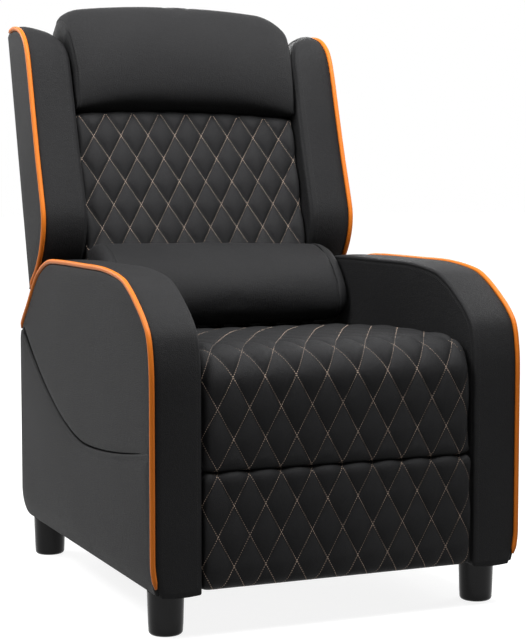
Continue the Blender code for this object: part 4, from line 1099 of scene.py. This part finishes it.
def make_head_pillow():
    """Plain head pad, its ends closed by sewn side panels."""
    rear = WING_REAR_T
    depth, height = HEAD_FRONT_T - rear, HEAD_TOP_S - HEAD_BOTTOM_S
    over_top = [(rear + forward * depth, HEAD_BOTTOM_S + up * height) for forward, up in HEAD_SHARES]
    smooth = smooth_through(over_top[::-1], 5)
    rest = [(HEAD_SEAT_T, 0.640), (HEAD_SEAT_T, HEAD_BOTTOM_S)]
    ring = respaced(np.vstack([smooth, rest, smooth[:1]]), 0.008)[:-1]
    normals = outward_normals(ring)
    half = HEAD_HIGH.x + 0.003

    def drawn(x, drop, past_seam):
        side = x / half
        flat = ring - normals * (0.003 + drop + groove(past_seam, HEAD_GROOVE))
        above = flat[:, 1] - HEAD_BOTTOM_S
        up = np.clip(above / height - 0.45, 0, None) / 0.55
        corner = 0.0575 + 0.0125 * side
        past = max(abs(x) - (half - corner), 0)
        sag = 0.018 * side**2 + 0.8 * (corner - math.sqrt(corner**2 - past**2))
        forward = np.minimum(flat[:, 0] - HEAD_SEAT_T, 0)
        t = flat[:, 0] - forward * HEAD_CROWN * abs(side) ** 2.5
        lip = np.clip((HEAD_LIP_T - flat[:, 0]) / 0.02, 0, 1) * np.clip(1 - up * 3, 0, 1)
        droop = HEAD_DROOP * side**4 * lip
        lift = joint_lift(x) * np.clip(1 - above / 0.09, 0, 1)
        free = np.clip((flat[:, 1] - 0.600) / 0.090, 0, 1)
        bulge = (0.0012 + 0.0048 * free) * side * np.exp(-((t - HEAD_BULGE_T) / 0.03) ** 2)
        wide = x * (0.988 + 0.025 * free) + bulge + HEAD_OFFSET * free
        return on_back(wide, t, flat[:, 1] + lift - sag * up**1.5 - droop)

    seam = half - HEAD_ROLL + HEAD_ROLL * math.pi / 2 - HEAD_SEAM_IN
    pillow("head_pillow", half, HEAD_ROLL, seam, drawn, HEAD_SWELL, "head_pad")


def make_lumbar_pillow():
    """Lumbar bolster, round in front and flat behind, with sewn end panels and a slight tilt."""
    half = LUMBAR_HIGH.x + 0.0015
    profile = [
        (LUMBAR_REAR_T - forward * LUMBAR_DEPTH, LUMBAR_BOTTOM_S + up * LUMBAR_HEIGHT)
        for forward, up in LUMBAR_SHARES
    ]
    ring = respaced(smooth_through([*profile, profile[0]], 5)[::-1], 0.007)[:-1]
    normals = outward_normals(ring)

    def drawn(x, drop, past_seam):
        flat = ring - normals * (drop + groove(past_seam, LUMBAR_GROOVE))
        lift = 0.5 * LUMBAR_TILT * (1 - x / half) * (flat[:, 1] - LUMBAR_BOTTOM_S) / LUMBAR_HEIGHT
        return on_back(x + LUMBAR_OFFSET, flat[:, 0], flat[:, 1] + lift)

    pillow(
        "lumbar_bolster", half, LUMBAR_ROLL, LUMBAR_SEAM_X, drawn, LUMBAR_SWELL, "lumbar_pillow",
    )


# Panels behind and below, and legs
PANEL_GAP = 0.0003
PANEL_THICKNESS = 0.004
PANEL_SEAM_IN = 0.009
PANEL_WAIST_X = 0.2375
PANEL_WAIST_S = 0.186
PANEL_BOTTOM_S = 0.047
PANEL_TOP_S = 0.702
PANEL_CORNER = 0.018
LEG_SIDES = 64


def flat_panel(name, outline, place, edge, crown, body, node):
    """A thin covered panel with softened edges."""
    steps = [(0, edge), (0.2, edge / 4), (0.5, 0), (0.8, edge / 4), (1, edge)]

    def lift(flat, distance):
        return padding(flat, distance, crown, 0.03, 0.05, 0.0004, 0.02)

    panel = upholstered(name, respaced(outline, 0.008)[:-1], steps, place, level, lift, 0.014)
    dress(panel, body, "black_leather", node)


def make_back_panel():
    """Covered rear panel of the back, and the seam round it."""
    low_t = WING_REAR_T + PANEL_GAP
    outer_x = WING_OUTER_X - 0.004
    corner = PANEL_CORNER
    half = [
        (PANEL_WAIST_X, PANEL_BOTTOM_S), (PANEL_WAIST_X, PANEL_WAIST_S), (outer_x, WING_BOTTOM_S + 0.004),
        (outer_x, PANEL_TOP_S - corner), *arc((outer_x - corner, PANEL_TOP_S - corner), corner, 20, 90, 5),
    ]
    outline = np.array([*[(-x, s) for x, s in half], *reversed(half), (-PANEL_WAIST_X, PANEL_BOTTOM_S)])

    def place(flat, across, lift):
        return on_back(flat[:, 0], low_t + across * PANEL_THICKNESS + lift, flat[:, 1])

    flat_panel("back_panel", outline, place, 0.0015, 0.003, "back", "rear_cover")
    ring = drawn_in(respaced(outline, 0.006)[:-1], PANEL_SEAM_IN)
    ring = np.vstack([ring, ring[:1]])
    at = on_back(ring[:, 0], low_t + 0.0046, ring[:, 1])
    sew_seam("back_panel_stitch", [(at, np.tile(BACK_REAR, (len(at), 1)))], "back")


def make_apron():
    """Covered rear apron between the arms."""
    half, low, high = APRON_HIGH.x, APRON_LOW.z, APRON_HIGH.z
    outline = np.array([(-half, low), (-half, high), (half, high), (half, low), (-half, low)])

    def place(flat, across, lift):
        y = APRON_LOW.y + across * (APRON_HIGH.y - APRON_LOW.y) + lift
        return np.stack([flat[:, 0], y, flat[:, 1]], 1)

    flat_panel("apron_panel", outline, place, 0.004, 0.002, "base", "rear_apron")


def make_leg(name):
    """Turned plastic leg with a rounded foot and a shadow line at its top."""
    low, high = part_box(name)
    x, y = (low.x + high.x) / 2, (low.y + high.y) / 2
    top = ARM_LOW.z - PANEL_GAP
    radius = (high.x - low.x) / 2
    profile = [
        (0.55 * radius, 0), (0.60 * radius, 0.0008), *arc((0.925 * radius - 0.006, 0.006), 0.006, 270, 360),
        (0.95 * radius, 0.25 * top), (0.975 * radius, 0.6 * top), (radius, top - 0.004),
        (radius, top - 0.001), (radius - 0.001, top), (0.005, top), (0.005, top + 0.02),
    ]
    turns = 2 * math.pi * np.arange(LEG_SIDES) / LEG_SIDES
    points = [(x + out * math.cos(a), y + out * math.sin(a), z) for out, z in profile for a in turns]
    leg = add_piece(f"turned_{name}", points, tube_faces(len(profile), LEG_SIDES), PLASTIC)
    leg.data.set_sharp_from_angle(angle=math.radians(40))
    dress(leg, "base", "black_plastic", name)


def finish_frame():
    """Real finishes on the pieces of the frame that stay as they are."""
    by_slot = {
        "plywood": PLYWOOD, "black_steel": STEEL, "spring_steel": SPRING, "black_webbing": WEBBING,
        "black_leather": LEATHER, "quilted_leather": QUILTED, "orange_piping": ORANGE,
        "black_plastic": PLASTIC,
    }
    slots = {row["node"]: row["material_slot"] for row in frame["record"]["subparts"]}
    for name, node in frame["nodes"].items():
        node.data.materials.clear()
        node.data.materials.append(by_slot[slots[name]])
        if name.startswith(("seat_spring", "torque_tube")):
            node.data.shade_smooth()


# Studio

WORLD_LIGHT = 0.15
FLOOR_REACH = 30
# Each lamp: place, what it points at, size and power
LAMPS = {
    "high front": ((0.3, -0.72, 2.2), (0, 0.1, 0.6), 0.9, 66),
    "left rear": ((-1.6, 1.9, 1.7), (-0.2, 0, 0.5), 0.9, 34),
    "overhead": ((-0.6, 0.2, 3.0), (0, 0, 0.5), 1.5, 24),
    "left": ((-1.5, -0.4, 2.1), (0, 0, 0.5), 1.0, 44),
    "right": ((2.3, 0.5, 1.6), (0, 0, 0.5), 1.2, 26),
    "rear": ((0.7, 2.6, 1.3), (0, 0, 0.5), 1.2, 24),
}


def put_up(name, data, place, ahead):
    """A lamp or camera at a place, facing ahead."""
    held = bpy.data.objects.new(name, data)
    held.location = place
    held.rotation_euler = ahead.to_track_quat("-Z", "Y").to_euler()
    bpy.context.scene.collection.objects.link(held)
    return held


def seen_rays(nodes):
    """1 for rays from the camera, straight or by way of a shine, and 0 for the rest."""
    kinds = ("Camera", "Glossy", "Transmission")
    camera, glossy, clear = (nodes.node("ShaderNodeLightPath", output=f"Is {kind} Ray") for kind in kinds)
    return camera + glossy + clear


def make_floor():
    """Pale floor that keeps the chair's shadow and turns white further out."""
    ground = bpy.data.meshes.new("floor")
    corners = [(x * FLOOR_REACH, y * FLOOR_REACH, 0) for x, y in ((-1, -1), (1, -1), (1, 1), (-1, 1))]
    ground.from_pydata(corners, [], [(0, 1, 2, 3)])
    floor = bpy.data.objects.new("floor", ground)
    bpy.context.scene.collection.objects.link(floor)
    pale = Finish("pale floor", Base_Color=(0.24, 0.24, 0.24, 1), Roughness=0.9, Specular_IOR_Level=0.1)
    away = pale.node("ShaderNodeVectorMath", {"operation": "LENGTH"}, {0: pale.place()}, output=1)
    far = pale.node("ShaderNodeMapRange", None, {"Value": away, "From Min": 0.7, "From Max": 2.2})
    colour = pale.between(far, (0.87, 0.87, 0.87), (1, 1, 1))
    glow = pale.node("ShaderNodeEmission", None, {"Color": colour, "Strength": 1.0})
    surface = Wire(pale, pale.shader.outputs[0])
    both = pale.node("ShaderNodeAddShader", None, {0: surface, 1: glow})
    mixed = pale.node("ShaderNodeMixShader", None, {0: seen_rays(pale), 1: surface, 2: both})
    pale.tree.links.new(mixed.socket, pale.tree.nodes["Material Output"].inputs["Surface"])
    ground.materials.append(pale.material)


def make_studio():
    """Floor, white surroundings, soft lamps and the camera."""
    scene = bpy.context.scene
    scene.view_settings.view_transform = "Standard"
    make_floor()

    world = bpy.data.worlds.new("white studio")
    scene.world = world
    world.use_nodes = True
    sky = Nodes(world.node_tree)
    background = sky.tree.nodes["Background"]
    background.inputs["Color"].default_value = (1, 1, 1, 1)
    inputs = {"Value": seen_rays(sky), "To Min": WORLD_LIGHT, "To Max": 1.0}
    level_of_light = sky.node("ShaderNodeMapRange", None, inputs)
    sky.tree.links.new(level_of_light.socket, background.inputs["Strength"])

    for name, (place, target, size, power) in LAMPS.items():
        lamp = bpy.data.lights.new(name, "AREA")
        lamp.shape = "RECTANGLE"
        lamp.size = lamp.size_y = size
        lamp.energy = power
        put_up(name, lamp, place, Vector(target) - Vector(place))

    lens = bpy.data.cameras.new("camera")
    lens.sensor_fit = "AUTO"
    lens.sensor_width = CAMERA_SENSOR
    lens.lens = CAMERA_LENS
    lens.clip_end = 100
    across = math.cos(CAMERA_PITCH)
    ahead = (math.sin(CAMERA_AZIMUTH) * across, math.cos(CAMERA_AZIMUTH) * across, -math.sin(CAMERA_PITCH))
    scene.camera = put_up("camera", lens, CAMERA_PLACE, Vector(ahead))


make_studio()
finish_frame()
for side_name, side_sign in SIDES.items():
    make_arm(side_name, side_sign)
    make_wing(side_name, side_sign)
make_seat()
make_footrest()
make_back()
make_head_pillow()
make_lumbar_pillow()
make_back_panel()
make_apron()
for end in ("front", "rear"):
    for side_name in SIDES:
        make_leg(f"leg_{end}_{side_name}")
